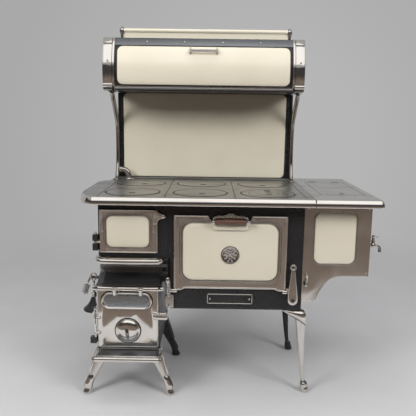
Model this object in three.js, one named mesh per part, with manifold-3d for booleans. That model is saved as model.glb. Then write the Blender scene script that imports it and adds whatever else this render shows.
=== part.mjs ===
// Wood cookstove with an oval-cornered firebox, oven, side water reservoir and warming cabinet.
// Millimetres, +Z up, the front looks along -Y. The origin is under the middle of the stove.
import * as THREE from 'three';
import Module from 'manifold-3d';
import { mergeVertices } from 'three/addons/utils/BufferGeometryUtils.js';

// ---------- driving dimensions ----------
const gap = 0.3;                 // between neighbouring castings
const sheet = 6;                 // body sheet
const casting = 10;              // front castings

const topWidth = 1250;           // over the nickel edge
const topDepth = 720;            // flat part, front to back
const topHeight = 880;           // floor to cooking surface
const topThickness = 16;
const leftReach = 16;             // extra reach of the firebox side
const trimReach = 16;            // bullnose edge, outwards
const trimDrop = 34;             // bullnose edge, height
const cornerReachX = 68;         // rounded front left corner
const cornerReachY = 180;
const topSideLength = 470;       // left edge, before the rear corner turns in
const wingTopWidth = 266;        // reservoir part of the top

const lidDiameter = 234;
const lidThickness = 7.7;
const lidSeat = 8;               // width of the ledge under a lid
const lidRunning = 0.8;
const lidPitchX = 290;
const lidPitchY = 307;
const lidFirstX = 207;           // from the left edge of the flat top
const lidFirstY = 143;           // from the front edge of the flat top

const leftOverhang = 68;         // top beyond the body
const frontOverhang = 78;
const fireboxWidth = 305;
const ovenSectionWidth = 565;
const bodyDepth = 572;
const ovenSectionHeight = 481;
const wingWidth = 285;
const wingHeight = 328;

const feedDoorWidth = 247;
const feedDoorHeight = 189;
const feedDoorDrop = 64;         // below the cooking surface
const doorThickness = 13.6;
const shelfDrop = 274;
const shelfReach = 85;
const shelfBarRadius = 13;

const ashBoxTop = 486;
const ashBoxHeight = 281;
const ashBoxWidth = 264;
const ashBoxDepth = 463;
const ashBoxOutset = 23;         // ash pit front ahead of the body front
const ashDoorHeight = 258;
const spinDiameter = 106;

const ovenDoorWidth = 479;
const ovenDoorHeight = 321;
const ovenDoorLeft = 16;         // from the oven section's left edge
const ovenDoorDrop = 84;
const ovenCavityDepth = 480;
const panelProud = 5;            // enamel panels, in front of their frames

const splashHeight = 432;
const splashWidth = 860;
const splashSetback = 618;       // from the front edge of the flat top
const cabinetWidth = 895;
const cabinetHeight = 232;
const cabinetDepth = 300;
const cabinetBulge = 45;
const bandWidth = 46;
const galleryHeight = 66;

const legHeight = 204.7;         // short legs, floor to ash pit
const coilWire = 3.2;
const coilTurns = 7;
const springTurns = 5;

// ---------- derived places ----------
const topLeft = -topWidth / 2 + trimReach - leftReach;
const topRight = topWidth / 2 - trimReach;
const topFront = -350;
const topBack = topFront + topDepth;
const jointX = topRight - wingTopWidth;
const bodyTop = topHeight - topThickness - gap;
const bodyLeft = -topWidth / 2 + leftOverhang;
const ovenLeft = bodyLeft + fireboxWidth;
const bodyRight = ovenLeft + ovenSectionWidth;
const wingRight = bodyRight + wingWidth;
const bodyFront = topFront + frontOverhang;
const bodyBack = bodyFront + bodyDepth;
const ovenBottom = topHeight - topThickness - ovenSectionHeight;
const panelBack = bodyFront + casting;
const shelfTop = topHeight - shelfDrop + 8;
const doorFace = bodyFront - gap - doorThickness;
const ashLeft = bodyLeft - 5;
const ashRight = ashLeft + ashBoxWidth;
const ashFront = bodyFront - ashBoxOutset;
const ashBack = ashFront + ashBoxDepth;
const ashBottom = ashBoxTop - ashBoxHeight;
const splashFront = topFront + splashSetback;
const splashLeft = bodyLeft + 10;
const splashTop = topHeight + splashHeight;
const cabinetBottom = splashTop + gap;
const cabinetTop = cabinetBottom + cabinetHeight;
const cabinetLeft = splashLeft - 23;
const cabinetRight = cabinetLeft + cabinetWidth;
const cabinetBack = splashFront + 12;
const cabinetFront = cabinetBack - cabinetDepth;

// ---------- solid helpers ----------
const wasm = await Module();
wasm.setup();

function geometryFrom(points, triangles) {
  const geometry = new THREE.BufferGeometry();
  geometry.setAttribute('position', new THREE.Float32BufferAttribute(points.flatMap((p) => [p.x, p.y, p.z]), 3));
  geometry.setIndex(triangles);
  return pointOutwards(geometry);
}

function pointOutwards(geometry) {
  const p = geometry.attributes.position;
  const index = geometry.index.array;
  const [a, b, c] = [new THREE.Vector3(), new THREE.Vector3(), new THREE.Vector3()];
  let volume = 0;
  for (let i = 0; i < index.length; i += 3) {
    a.fromBufferAttribute(p, index[i]);
    b.fromBufferAttribute(p, index[i + 1]);
    c.fromBufferAttribute(p, index[i + 2]);
    volume += a.dot(b.cross(c));
  }
  if (volume < 0) {
    for (let i = 0; i < index.length; i += 3) {
      [index[i + 1], index[i + 2]] = [index[i + 2], index[i + 1]];
    }
  }
  return geometry;
}

function solidOf(geometry) {
  const bare = geometry.clone();
  bare.deleteAttribute('normal');
  bare.deleteAttribute('uv');
  const merged = mergeVertices(bare, 1e-4);
  return new wasm.Manifold(new wasm.Mesh({
    numProp: 3,
    vertProperties: new Float32Array(merged.attributes.position.array),
    triVerts: new Uint32Array(merged.index.array),
  }));
}

function geometryOf(solid) {
  const mesh = solid.getMesh();
  const geometry = new THREE.BufferGeometry();
  geometry.setAttribute('position', new THREE.BufferAttribute(mesh.vertProperties, 3));
  geometry.setIndex(new THREE.BufferAttribute(mesh.triVerts, 1));
  return geometry;
}

function join(...pieces) {
  return geometryOf(pieces.map(solidOf).reduce((a, b) => a.add(b)));
}

function cut(base, ...tools) {
  return geometryOf(tools.map(solidOf).reduce((a, b) => a.subtract(b), solidOf(base)));
}

function box(x0, x1, y0, y1, z0, z1) {
  const geometry = new THREE.BoxGeometry(x1 - x0, y1 - y0, z1 - z0);
  return geometry.translate((x0 + x1) / 2, (y0 + y1) / 2, (z0 + z1) / 2);
}

// A plate seen from the front: outline in X and Z, between two Y values.
function frontPlate(outline, y0, y1, segments = 4) {
  const geometry = new THREE.ExtrudeGeometry(outline, { depth: y1 - y0, bevelEnabled: false, curveSegments: segments });
  return geometry.rotateX(Math.PI / 2).translate(0, y1, 0);
}

// A plate seen from the side: outline in Y and Z, between two X values.
function sidePlate(outline, x0, x1, segments = 4) {
  const geometry = new THREE.ExtrudeGeometry(outline, { depth: x1 - x0, bevelEnabled: false, curveSegments: segments });
  const turn = new THREE.Matrix4().makeBasis(
    new THREE.Vector3(0, 1, 0), new THREE.Vector3(0, 0, 1), new THREE.Vector3(1, 0, 0));
  return geometry.applyMatrix4(turn).translate(x0, 0, 0);
}

// A plate seen from above: outline in X and Y, between two Z values.
function flatPlate(outline, z0, z1, segments = 4) {
  const geometry = new THREE.ExtrudeGeometry(outline, { depth: z1 - z0, bevelEnabled: false, curveSegments: segments });
  return geometry.translate(0, 0, z0);
}

function roundedRect(x0, x1, y0, y1, r) {
  const shape = new THREE.Shape();
  shape.moveTo(x0 + r, y0);
  shape.lineTo(x1 - r, y0);
  shape.absarc(x1 - r, y0 + r, r, -Math.PI / 2, 0, false);
  shape.lineTo(x1, y1 - r);
  shape.absarc(x1 - r, y1 - r, r, 0, Math.PI / 2, false);
  shape.lineTo(x0 + r, y1);
  shape.absarc(x0 + r, y1 - r, r, Math.PI / 2, Math.PI, false);
  shape.lineTo(x0, y0 + r);
  shape.absarc(x0 + r, y0 + r, r, Math.PI, 1.5 * Math.PI, false);
  return shape;
}

function polygon(...points) {
  return new THREE.Shape(points.map(([x, y]) => new THREE.Vector2(x, y)));
}

function ringPoints(radius, sides, stretch = 1) {
  const points = [];
  for (let i = 0; i < sides; i += 1) {
    const angle = (2 * Math.PI * (i + 0.5)) / sides;
    points.push(new THREE.Vector2(radius * Math.cos(angle), radius * stretch * Math.sin(angle)));
  }
  return points;
}

// A section carried through a row of frames, each with a place, two directions and a scale.
function sweep(section, frames) {
  const points = [];
  const n = section.length;
  for (const { at, u, v, su = 1, sv = 1 } of frames) {
    for (const s of section) {
      points.push(at.clone().addScaledVector(u, s.x * su).addScaledVector(v, s.y * sv));
    }
  }
  const triangles = [];
  for (let k = 0; k + 1 < frames.length; k += 1) {
    for (let i = 0; i < n; i += 1) {
      const [a, b] = [k * n + i, k * n + ((i + 1) % n)];
      triangles.push(a, b, b + n, a, b + n, a + n);
    }
  }
  const last = (frames.length - 1) * n;
  for (const [a, b, c] of THREE.ShapeUtils.triangulateShape(section, [])) {
    triangles.push(a, c, b, last + a, last + b, last + c);
  }
  return geometryFrom(points, triangles);
}

// A round bar through points, with one radius or one for each point.
function bar(points, radius, sides = 8) {
  const radii = Array.isArray(radius) ? radius : points.map(() => radius);
  const frames = [];
  let u = null;
  points.forEach((at, k) => {
    const before = points[Math.max(k - 1, 0)];
    const after = points[Math.min(k + 1, points.length - 1)];
    const along = after.clone().sub(before).normalize();
    if (!u) {
      const side = Math.abs(along.z) < 0.9 ? new THREE.Vector3(0, 0, 1) : new THREE.Vector3(1, 0, 0);
      u = side.clone().cross(along).normalize();
    }
    u = u.clone().addScaledVector(along, -u.dot(along)).normalize();
    const v = along.clone().cross(u);
    frames.push({ at, u, v, su: radii[k], sv: radii[k] });
  });
  return sweep(ringPoints(1, sides), frames);
}

// A turned piece: profile of [radius, height] from one axis point to the other.
function turned(profile, sides = 16) {
  const points = [];
  const rings = profile.map(([r, h]) => {
    const start = points.length;
    const count = r === 0 ? 1 : sides;
    for (let i = 0; i < count; i += 1) {
      const angle = (2 * Math.PI * i) / sides;
      points.push(new THREE.Vector3(r * Math.cos(angle), r * Math.sin(angle), h));
    }
    return { start, count };
  });
  const triangles = [];
  for (let k = 0; k + 1 < rings.length; k += 1) {
    const [low, high] = [rings[k], rings[k + 1]];
    for (let i = 0; i < sides; i += 1) {
      const j = (i + 1) % sides;
      if (low.count > 1) {
        triangles.push(low.start + i, low.start + j, high.start + (high.count > 1 ? j : 0));
      }
      if (high.count > 1) {
        triangles.push(low.start + (low.count > 1 ? i : 0), high.start + j, high.start + i);
      }
    }
  }
  return geometryFrom(points, triangles);
}

// A turned piece laid on the X or Y axis direction, then moved to its place.
function turnedAlong(axis, profile, at, sides = 16) {
  const geometry = turned(profile, sides);
  if (axis === 'x') geometry.rotateY(Math.PI / 2);
  if (axis === 'y') geometry.rotateX(-Math.PI / 2);
  if (axis === '-y') geometry.rotateX(Math.PI / 2);
  return geometry.translate(at.x, at.y, at.z);
}

function vec(x, y, z) {
  return new THREE.Vector3(x, y, z);
}

// A helical tube with straight ends; the least distance between turns is measured and printed.
function coil(name, { from, axis, side, mean, wire, turns, length, sides = 5, steps = 8 }) {
  const along = axis.clone().normalize();
  const u = side.clone().addScaledVector(along, -side.dot(along)).normalize();
  const v = along.clone().cross(u);
  const centres = [];
  const count = turns * steps;
  for (let i = 0; i <= count; i += 1) {
    const angle = (2 * Math.PI * i) / steps;
    centres.push(from.clone().addScaledVector(along, (length * i) / count)
      .addScaledVector(u, mean * Math.cos(angle)).addScaledVector(v, mean * Math.sin(angle)));
  }
  const firstWay = centres[1].clone().sub(centres[0]).normalize();
  const lastWay = centres[count].clone().sub(centres[count - 1]).normalize();
  centres.unshift(centres[0].clone().addScaledVector(firstWay, -wire));
  centres.push(centres[count + 1].clone().addScaledVector(lastWay, wire));
  const frames = centres.map((at, k) => {
    const before = centres[Math.max(k - 1, 0)];
    const after = centres[Math.min(k + 1, centres.length - 1)];
    const way = after.clone().sub(before).normalize();
    const outward = at.clone().sub(from);
    outward.addScaledVector(along, -outward.dot(along));
    outward.addScaledVector(way, -outward.dot(way)).normalize();
    return { at, u: outward, v: way.clone().cross(outward) };
  });
  let least = Infinity;
  for (let i = 0; i < centres.length; i += 1) {
    for (let j = i + steps - 2; j < centres.length; j += 1) {
      least = Math.min(least, centres[i].distanceTo(centres[j]) - wire);
    }
  }
  console.log(`${name}: least gap between turns ${least.toFixed(2)} mm`);
  return sweep(ringPoints(wire / 2, sides), frames);
}

// ---------- materials ----------
function finish(color, roughness, metalness) {
  return new THREE.MeshStandardMaterial({ color, roughness, metalness });
}
const nickel = () => finish(0xc9c3ba, 0.15, 1);
const blackIron = () => finish(0x191919, 0.45, 0.2);
const topIron = () => finish(0x8b8a84, 0.3, 0.8);
const cream = () => finish(0xd3cab6, 0.12, 0);
const darkSteel = () => finish(0x3c3e42, 0.4, 0.8);
const brick = () => finish(0xb39a78, 0.9, 0);
const castIron = () => finish(0x35332f, 0.7, 0.4);
const wood = () => finish(0x4a2c20, 0.35, 0);

const group = new THREE.Group();
const stove = new THREE.Group();
group.add(stove);

function piece(name, geometry, material) {
  const mesh = new THREE.Mesh(geometry, material);
  mesh.name = name;
  stove.add(mesh);
  return mesh;
}

// ---------- cooktop ----------
const topLow = topHeight - topThickness;
const lidBore = lidDiameter / 2 + lidRunning;
const lidCentres = [];
for (let row = 0; row < 2; row += 1) {
  for (let column = 0; column < 3; column += 1) {
    lidCentres.push([topLeft + lidFirstX + column * lidPitchX, topFront + lidFirstY + row * lidPitchY]);
  }
}

// Left part of the outline, from the front joint round to the rear: the corner is an ellipse quarter.
function topLeftPath(outset, steps = 8) {
  const points = [new THREE.Vector2(jointX - gap / 2, topFront - outset)];
  const [cx, cy] = [topLeft + cornerReachX, topFront + cornerReachY];
  for (let i = 0; i <= steps; i += 1) {
    const angle = -Math.PI / 2 - (Math.PI / 2) * (i / steps);
    points.push(new THREE.Vector2(
      cx + (cornerReachX + outset) * Math.cos(angle), cy + (cornerReachY + outset) * Math.sin(angle)));
  }
  const rear = topFront + topSideLength;
  const turn = 62;
  for (let i = 0; i <= 4; i += 1) {
    const angle = Math.PI - (Math.PI / 2) * (i / 4) * 0.8;
    points.push(new THREE.Vector2(
      topLeft + turn + (turn + outset) * Math.cos(angle), rear + (turn + outset) * Math.sin(angle)));
  }
  return points;
}

// Bullnose strip along a path: flat inside face, half-round outside.
function bullnose(inner, outer, height, drop) {
  const profile = [];
  const steps = 6;
  for (let i = 0; i <= steps; i += 1) {
    const angle = -Math.PI / 2 + (Math.PI * i) / steps;
    profile.push(new THREE.Vector2(Math.cos(angle), (Math.sin(angle) * drop) / 2));
  }
  const frames = inner.map((p, k) => ({
    at: vec(p.x, p.y, height - drop / 2),
    u: vec(outer[k].x - p.x, outer[k].y - p.y, 0),
    v: vec(0, 0, 1),
  }));
  return sweep(profile, frames);
}

const cooktopOutline = topLeftPath(0);
const rearNotchX = cooktopOutline.at(-1).x;
cooktopOutline.push(new THREE.Vector2(rearNotchX, topBack), new THREE.Vector2(jointX - gap / 2, topBack));
const boreSides = 24;
const lidTools = lidCentres.flatMap(([x, y]) => [
  turned([[0, topLow - 1], [lidBore - lidSeat, topLow - 1], [lidBore - lidSeat, topHeight + 1],
    [0, topHeight + 1]], boreSides).translate(x, y, 0),
  turned([[0, topHeight - lidThickness - gap], [lidBore, topHeight - lidThickness - gap],
    [lidBore, topHeight + 1], [0, topHeight + 1]], boreSides).translate(x, y, 0),
]);
const collarX = (ovenLeft + bodyRight) / 2 - 160;
const collarY = topBack - 45;
const collarRadiusX = 88;
const collarRadiusY = 35;
function ovalShape(rx, ry) {
  const shape = new THREE.Shape();
  shape.absellipse(collarX, collarY, rx, ry, 0, 2 * Math.PI, false, 0);
  return shape;
}
const flueHole = flatPlate(ovalShape(collarRadiusX - 6, collarRadiusY - 6), topLow - 1, topHeight + 1, 20);
piece('cooktop_main', cut(flatPlate(new THREE.Shape(cooktopOutline), topLow, topHeight), ...lidTools, flueHole),
  topIron());

const slot = { length: 34, width: 12, depth: 5 };
lidCentres.forEach(([x, y], i) => {
  const disc = turned([[0, topHeight - lidThickness], [lidDiameter / 2, topHeight - lidThickness],
    [lidDiameter / 2, topHeight], [0, topHeight]], boreSides).translate(x, y, 0);
  const lifterSlot = box(x - slot.length / 2, x + slot.length / 2, y - slot.width / 2, y + slot.width / 2,
    topHeight - slot.depth, topHeight + 1);
  const place = `${i < 3 ? 'front' : 'rear'}_${['left', 'middle', 'right'][i % 3]}`;
  piece(`lid_${place}`, cut(disc, lifterSlot), topIron());
});

piece('cooktop_trim', bullnose(topLeftPath(gap), topLeftPath(trimReach), topHeight, trimDrop), nickel());

// ---------- reservoir wing top, with its own trim ----------
const wingX = jointX + gap / 2;
const wellX0 = wingX + 45;
const wellX1 = topRight - 30;
const wellY0 = topFront + 123;
const wellY1 = topFront + 571;
const hingeClear = 1.2;
const lidPlate = 6;
function wingPath(outset) {
  const points = [new THREE.Vector2(wingX, topFront - outset)];
  const r = 4;
  for (let i = 0; i <= 3; i += 1) {
    const angle = -Math.PI / 2 + (Math.PI / 2) * (i / 3);
    points.push(new THREE.Vector2(
      topRight - r + (r + outset) * Math.cos(angle), topFront + r + (r + outset) * Math.sin(angle)));
  }
  points.push(new THREE.Vector2(topRight + outset, topBack));
  return points;
}
piece('reservoir_top', join(
  cut(box(wingX, topRight, topFront, topBack, topLow, topHeight),
    box(wellX0 + 10, wellX1 - 10, wellY0 + 10, wellY1 - 10, topLow - 1, topHeight + 1),
    box(wellX0, wellX1, wellY0, wellY1, topHeight - lidPlate - gap, topHeight + 1)),
  bullnose(wingPath(-2), wingPath(trimReach), topHeight, trimDrop),
), topIron());

const knobX = (wellX0 + wellX1) / 2;
piece('reservoir_lid', join(
  box(wellX0 + hingeClear, wellX1 - hingeClear, wellY0 + hingeClear, wellY1 - hingeClear, topHeight - lidPlate,
    topHeight),
  turned([[0, topHeight - 2], [7, topHeight - 2], [7, topHeight + 3], [11, topHeight + 8], [11, topHeight + 13],
    [7, topHeight + 16], [0, topHeight + 17]], 12).translate(knobX, wellY0 + 42, 0)), topIron());

// ---------- body ----------
const feedDoorLeft = bodyLeft + 6;
const feedDoorTop = topHeight - feedDoorDrop;
const feedDoorBottom = feedDoorTop - feedDoorHeight;
const ovenDoorX0 = ovenLeft + ovenDoorLeft;
const ovenDoorX1 = ovenDoorX0 + ovenDoorWidth;
const ovenDoorTop = topHeight - ovenDoorDrop;
const ovenDoorBottom = ovenDoorTop - ovenDoorHeight;
const overlap = 22;              // doors cover their openings by this much
const feedHole = box(feedDoorLeft + overlap, feedDoorLeft + feedDoorWidth - overlap, bodyFront - 1, panelBack + 1,
  feedDoorBottom + overlap, feedDoorTop - overlap);
const ovenHole = box(ovenDoorX0 + overlap, ovenDoorX1 - overlap, bodyFront - 1, panelBack + 1,
  ovenDoorBottom + overlap, ovenDoorTop - overlap);
const shelfLow = shelfTop - 8;
const hingeAxisX = bodyLeft - 11;
const hingeAxisY = doorFace + 5;
const feedHingeZ = feedDoorBottom + 47;      // middle of the door's own knuckle
const knuckleHalf = 6.5;
function feedLug(z0, z1) {
  return join(
    box(hingeAxisX - 11, bodyLeft - gap, hingeAxisY - 9, panelBack, z0, z1),
    box(bodyLeft - 5, bodyLeft + 5, bodyFront, panelBack, z0, z1));
}
piece('front_panel', cut(join(
  frontPlate(polygon([bodyLeft, shelfLow], [ovenLeft, shelfLow], [ovenLeft, ovenBottom], [bodyRight, ovenBottom],
    [bodyRight, bodyTop], [bodyLeft, bodyTop]), bodyFront, panelBack),
  feedLug(feedHingeZ + knuckleHalf + gap, feedHingeZ + knuckleHalf + 25),
  feedLug(feedHingeZ - knuckleHalf - 29, feedHingeZ - knuckleHalf - gap),
), feedHole, ovenHole), blackIron());

// Sheet body, with the oval-cornered lower firebox wall.
const lowerWallFront = bodyFront + 50;
const lowerTop = shelfLow - gap;
const ovalReachX = 80;
const ovalReachY = 120;
function ovalWallPoint(angle, inset) {
  return vec(
    bodyLeft + ovalReachX + (ovalReachX - inset) * Math.cos(angle),
    lowerWallFront + ovalReachY + (ovalReachY - inset) * Math.sin(angle), 0);
}
function ovalWall(z0, z1) {
  const outline = [];
  const inside = [];
  for (let i = 0; i <= 6; i += 1) {
    const angle = Math.PI + (Math.PI / 2) * (i / 6);
    outline.push(ovalWallPoint(angle, 0));
    inside.unshift(ovalWallPoint(angle, casting));
  }
  outline.push(vec(ovenLeft + sheet, lowerWallFront, 0), vec(ovenLeft + sheet, lowerWallFront + casting, 0));
  return flatPlate(new THREE.Shape([...outline, ...inside].map((p) => new THREE.Vector2(p.x, p.y))), z0, z1);
}
const innerTop = bodyTop;
const rodX = ashLeft - 23;
const rodY = ashFront + 45;
const shakerY = rodY + 38;
const shakerZ = ashBoxTop + 12;
const shaftBearingX = bodyLeft + 5;
const wallStart = panelBack + gap;
const flueWindow = box(collarX - collarRadiusX + 10, collarX + collarRadiusX - 10, bodyBack - 9, bodyBack + 2,
  innerTop - 190, innerTop - 30);
piece('body_shell', cut(join(
  box(bodyLeft, bodyLeft + sheet, wallStart, bodyBack, shelfLow - 1, innerTop),
  box(bodyLeft, bodyLeft + sheet, lowerWallFront + ovalReachY - 2, bodyBack, ashBoxTop + gap, innerTop),
  box(bodyLeft, bodyRight, bodyBack - sheet, bodyBack, ashBoxTop + gap, innerTop),
  box(ovenLeft, bodyRight, bodyBack - sheet, bodyBack, ovenBottom, innerTop),
  box(bodyRight - sheet, bodyRight, wallStart, bodyBack, ovenBottom, innerTop),
  box(ovenLeft, ovenLeft + sheet, wallStart, bodyBack, ovenBottom, innerTop),
  box(ovenLeft, bodyRight, wallStart, bodyBack, ovenBottom, ovenBottom + sheet),
  ovalWall(ashBoxTop + gap, lowerTop),
  // shelf-level deck that closes the step between the front casting and the oval wall
  cut(box(bodyLeft, ovenLeft + sheet, wallStart, lowerWallFront + ovalReachY, lowerTop - 6, lowerTop),
    box(bodyLeft + 30, ovenLeft, lowerWallFront + casting, lowerWallFront + ovalReachY + 9, lowerTop - 9, lowerTop + 9)),
  // bearing of the shaker shaft
  turnedAlong('x', [[0, 0], [11, 0], [11, 50], [0, 50]], vec(shaftBearingX, shakerY, shakerZ), 12),
  // flue box behind the body, under the collar
  cut(box(collarX - collarRadiusX - 12, collarX + collarRadiusX + 12, bodyBack - 2, topBack - 4, innerTop - 230, innerTop),
    box(collarX - collarRadiusX - 4, collarX + collarRadiusX + 4, bodyBack, topBack - 12, innerTop - 222, innerTop + 9)),
), flueWindow), blackIron());

// ---------- oven ----------
const ovenX0 = ovenDoorX0 + overlap - 6;
const ovenX1 = ovenDoorX1 - overlap + 6;
const ovenZ0 = ovenDoorBottom + overlap - 6;
const ovenZ1 = ovenDoorTop - overlap + 6;
const ovenBack = panelBack + gap + ovenCavityDepth;
const linerWall = 5;
const rackZ = ovenZ0 + 0.45 * (ovenZ1 - ovenZ0);
const runner = 14;
piece('oven_liner', join(
  cut(box(ovenX0 - linerWall, ovenX1 + linerWall, wallStart, ovenBack + linerWall, ovenZ0 - linerWall, ovenZ1 + linerWall),
    box(ovenX0, ovenX1, wallStart - 1, ovenBack, ovenZ0, ovenZ1)),
  box(ovenX0 - 1, ovenX0 + runner, wallStart + 10, ovenBack + 1, rackZ - 8, rackZ - gap),
  box(ovenX1 - runner, ovenX1 + 1, wallStart + 10, ovenBack + 1, rackZ - 8, rackZ - gap),
), darkSteel());

const rackBar = 5;
const rackSides = [ovenX0 + 4, ovenX1 - 4 - rackBar];
const rackY0 = wallStart + 16;
const rackY1 = ovenBack - 8;
const rackBars = 8;
const rackPieces = rackSides.map((x) => box(x, x + rackBar, rackY0, rackY1, rackZ, rackZ + rackBar));
for (let i = 0; i <= rackBars; i += 1) {
  const y = rackY0 + ((rackY1 - rackY0 - rackBar) * i) / rackBars;
  rackPieces.push(box(rackSides[0], rackSides[1] + rackBar, y, y + rackBar, rackZ, rackZ + rackBar));
}
piece('oven_rack', join(...rackPieces), darkSteel());

// ---------- oven door, drops down on a hinge at its lower edge ----------
const ovenPivotY = doorFace + 2;
const ovenPivotZ = ovenDoorBottom - 9;
const knuckle = 9;
const ovenFrameInset = { left: 38, right: 38, top: 35, bottom: 40 };
const ovenPanelShape = roundedRect(ovenDoorX0 + ovenFrameInset.left, ovenDoorX1 - ovenFrameInset.right,
  ovenDoorBottom + ovenFrameInset.bottom, ovenDoorTop - ovenFrameInset.top, 42);
const notchWidth = 34;
const notchReach = 74;
const notchDepth = 16;
const doorMiddleX = (ovenDoorX0 + ovenDoorX1) / 2 - 1;
function knuckleAt(x0, x1) {
  return join(
    turnedAlong('x', [[0, 0], [knuckle, 0], [knuckle, x1 - x0], [0, x1 - x0]], vec(x0, ovenPivotY, ovenPivotZ), 12),
    box(Math.max(x0, ovenDoorX0), Math.min(x1, ovenDoorX1), doorFace, bodyFront - gap, ovenPivotZ, ovenDoorBottom + 12));
}
piece('oven_door_panel', frontPlate(ovenPanelShape, doorFace - gap - panelProud, doorFace - gap), cream());

const gripZ = ovenDoorTop - 21;
const gripY = doorFace - 34;
const gripHalf = 68;
function handlePost(x) {
  return join(
    box(x - 6, x + 6, gripY + 5, doorFace + 2, gripZ - 7, gripZ + 7),
    turnedAlong('x', [[0, 0], [9, 0], [9, 12], [0, 12]], vec(x - 6, gripY, gripZ), 12));
}
const handlePlateTop = ovenDoorTop + 11;
const handlePlate = frontPlate(polygon(
  [doorMiddleX - gripHalf - 8, gripZ - 6], [doorMiddleX + gripHalf + 8, gripZ - 6],
  [doorMiddleX + gripHalf + 8, gripZ + 8], [doorMiddleX + 54, ovenDoorTop - 1], [doorMiddleX + 20, ovenDoorTop + 1],
  [doorMiddleX, handlePlateTop], [doorMiddleX - 20, ovenDoorTop + 1], [doorMiddleX - 54, ovenDoorTop - 1],
  [doorMiddleX - gripHalf - 8, gripZ + 8]), doorFace - 4, doorFace + 2);
piece('oven_door_frame', join(
  cut(join(
    box(ovenDoorX0, ovenDoorX1, doorFace, bodyFront - gap, ovenDoorBottom, ovenDoorTop),
    knuckleAt(ovenDoorX0 - 15, ovenDoorX0 + 14),
    knuckleAt(ovenDoorX1 - 14, ovenDoorX1 + 19),
  ), ...[-1, 1].map((s) => box(doorMiddleX + s * notchReach - notchWidth / 2, doorMiddleX + s * notchReach + notchWidth / 2,
    doorFace - 1, bodyFront, ovenDoorTop - notchDepth, ovenDoorTop + 1))),
  handlePlate,
  handlePost(doorMiddleX - gripHalf - 6 - gap),
  handlePost(doorMiddleX + gripHalf + 6 + gap),
), nickel());
piece('oven_handle_grip', turnedAlong('x', [[0, 0], [8.5, 0], [11, 12], [11.5, gripHalf], [11, 2 * gripHalf - 12],
  [8.5, 2 * gripHalf], [0, 2 * gripHalf]], vec(doorMiddleX - gripHalf, gripY, gripZ), 12), wood());

// ---------- oven hinge post with its counter spring, left of the door ----------
const postX = ovenLeft - 10;
const postY = bodyFront - gap - 11;
const postPlateTop = ovenDoorBottom - 29;
const springLow = postPlateTop + 1.5;
const springLength = 38;
piece('oven_hinge_post', join(
  box(postX - 11, postX + 25, bodyFront - gap - 11, bodyFront - gap, ovenBottom + 5, postPlateTop),
  bar([vec(postX, postY, postPlateTop - 12), vec(postX, postY, springLow + springLength + 12)], 5.5, 10),
  turned([[0, 0], [9, 0], [10, 6], [10, 24], [7, 32], [0, 35]], 12)
    .translate(postX, postY, springLow + springLength + 4),
), nickel());
piece('hinge_spring', coil('hinge_spring', {
  from: vec(postX, postY, springLow + coilWire / 2), axis: vec(0, 0, 1), side: vec(1, 0, 0),
  mean: 7.6, wire: coilWire, turns: springTurns, length: springLength - coilWire - 4,
}), nickel());

// ---------- oven damper lever, right of the door, over a boss at its lower end ----------
const damperX = bodyRight - 41;
const damperZ = ovenDoorBottom - 39;
const damperY = bodyFront - 22;
const damperLength = 146;
const damperThick = 14;
const damperShape = new THREE.Shape();
damperShape.absarc(0, 0, 23, Math.PI - 0.35, 2 * Math.PI + 0.35, false);
damperShape.lineTo(12, damperLength - 20);
damperShape.absarc(0, damperLength, 17, -0.6, Math.PI + 0.6, false);
damperShape.lineTo(-12, damperLength - 20);
const damperEye = new THREE.Path();
damperEye.absarc(0, damperLength, 8, 0, 2 * Math.PI, true);
damperShape.holes.push(damperEye);
piece('oven_damper_lever', join(
  frontPlate(damperShape, damperY - damperThick, damperY, 6).translate(damperX, 0, damperZ),
  turnedAlong('-y', [[0, 0], [10, 0], [10, 26], [0, 26]], vec(damperX, bodyFront - gap, damperZ), 12),
), nickel());

// ---------- firebox feed door, hinged at the left ----------
const feedX1 = feedDoorLeft + feedDoorWidth;
const earShape = new THREE.Shape();
earShape.moveTo(feedX1 - 20, feedDoorTop);
earShape.quadraticCurveTo(feedX1 - 2, feedDoorTop - 2, feedX1 + 6, feedDoorTop - 16);
earShape.quadraticCurveTo(feedX1 + 26, feedDoorTop - 16, feedX1 + 33, feedDoorTop - 30);
earShape.quadraticCurveTo(feedX1 + 8, feedDoorTop - 30, feedX1, feedDoorTop - 48);
earShape.lineTo(feedX1 - 20, feedDoorTop - 48);
piece('firebox_door_frame', join(
  box(feedDoorLeft, feedX1 - 4, doorFace, bodyFront - gap, feedDoorBottom, feedDoorTop - 0.5),
  box(feedX1 - 8, feedX1, doorFace, bodyFront - gap, feedDoorBottom, feedDoorTop - 46),
  frontPlate(earShape, doorFace, bodyFront - gap - 3),
  box(hingeAxisX, feedDoorLeft + 4, hingeAxisY - 4, hingeAxisY + 4, feedHingeZ - knuckleHalf, feedHingeZ + knuckleHalf),
  turned([[0, -knuckleHalf], [8, -knuckleHalf], [8, knuckleHalf], [0, knuckleHalf]], 12)
    .translate(hingeAxisX, hingeAxisY, feedHingeZ),
), nickel());
piece('firebox_door_insert', frontPlate(
  roundedRect(feedDoorLeft + 31, feedX1 - 36, feedDoorBottom + 25, feedDoorTop - 28, 25),
  doorFace - gap - panelProud, doorFace - gap), cream());

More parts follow.
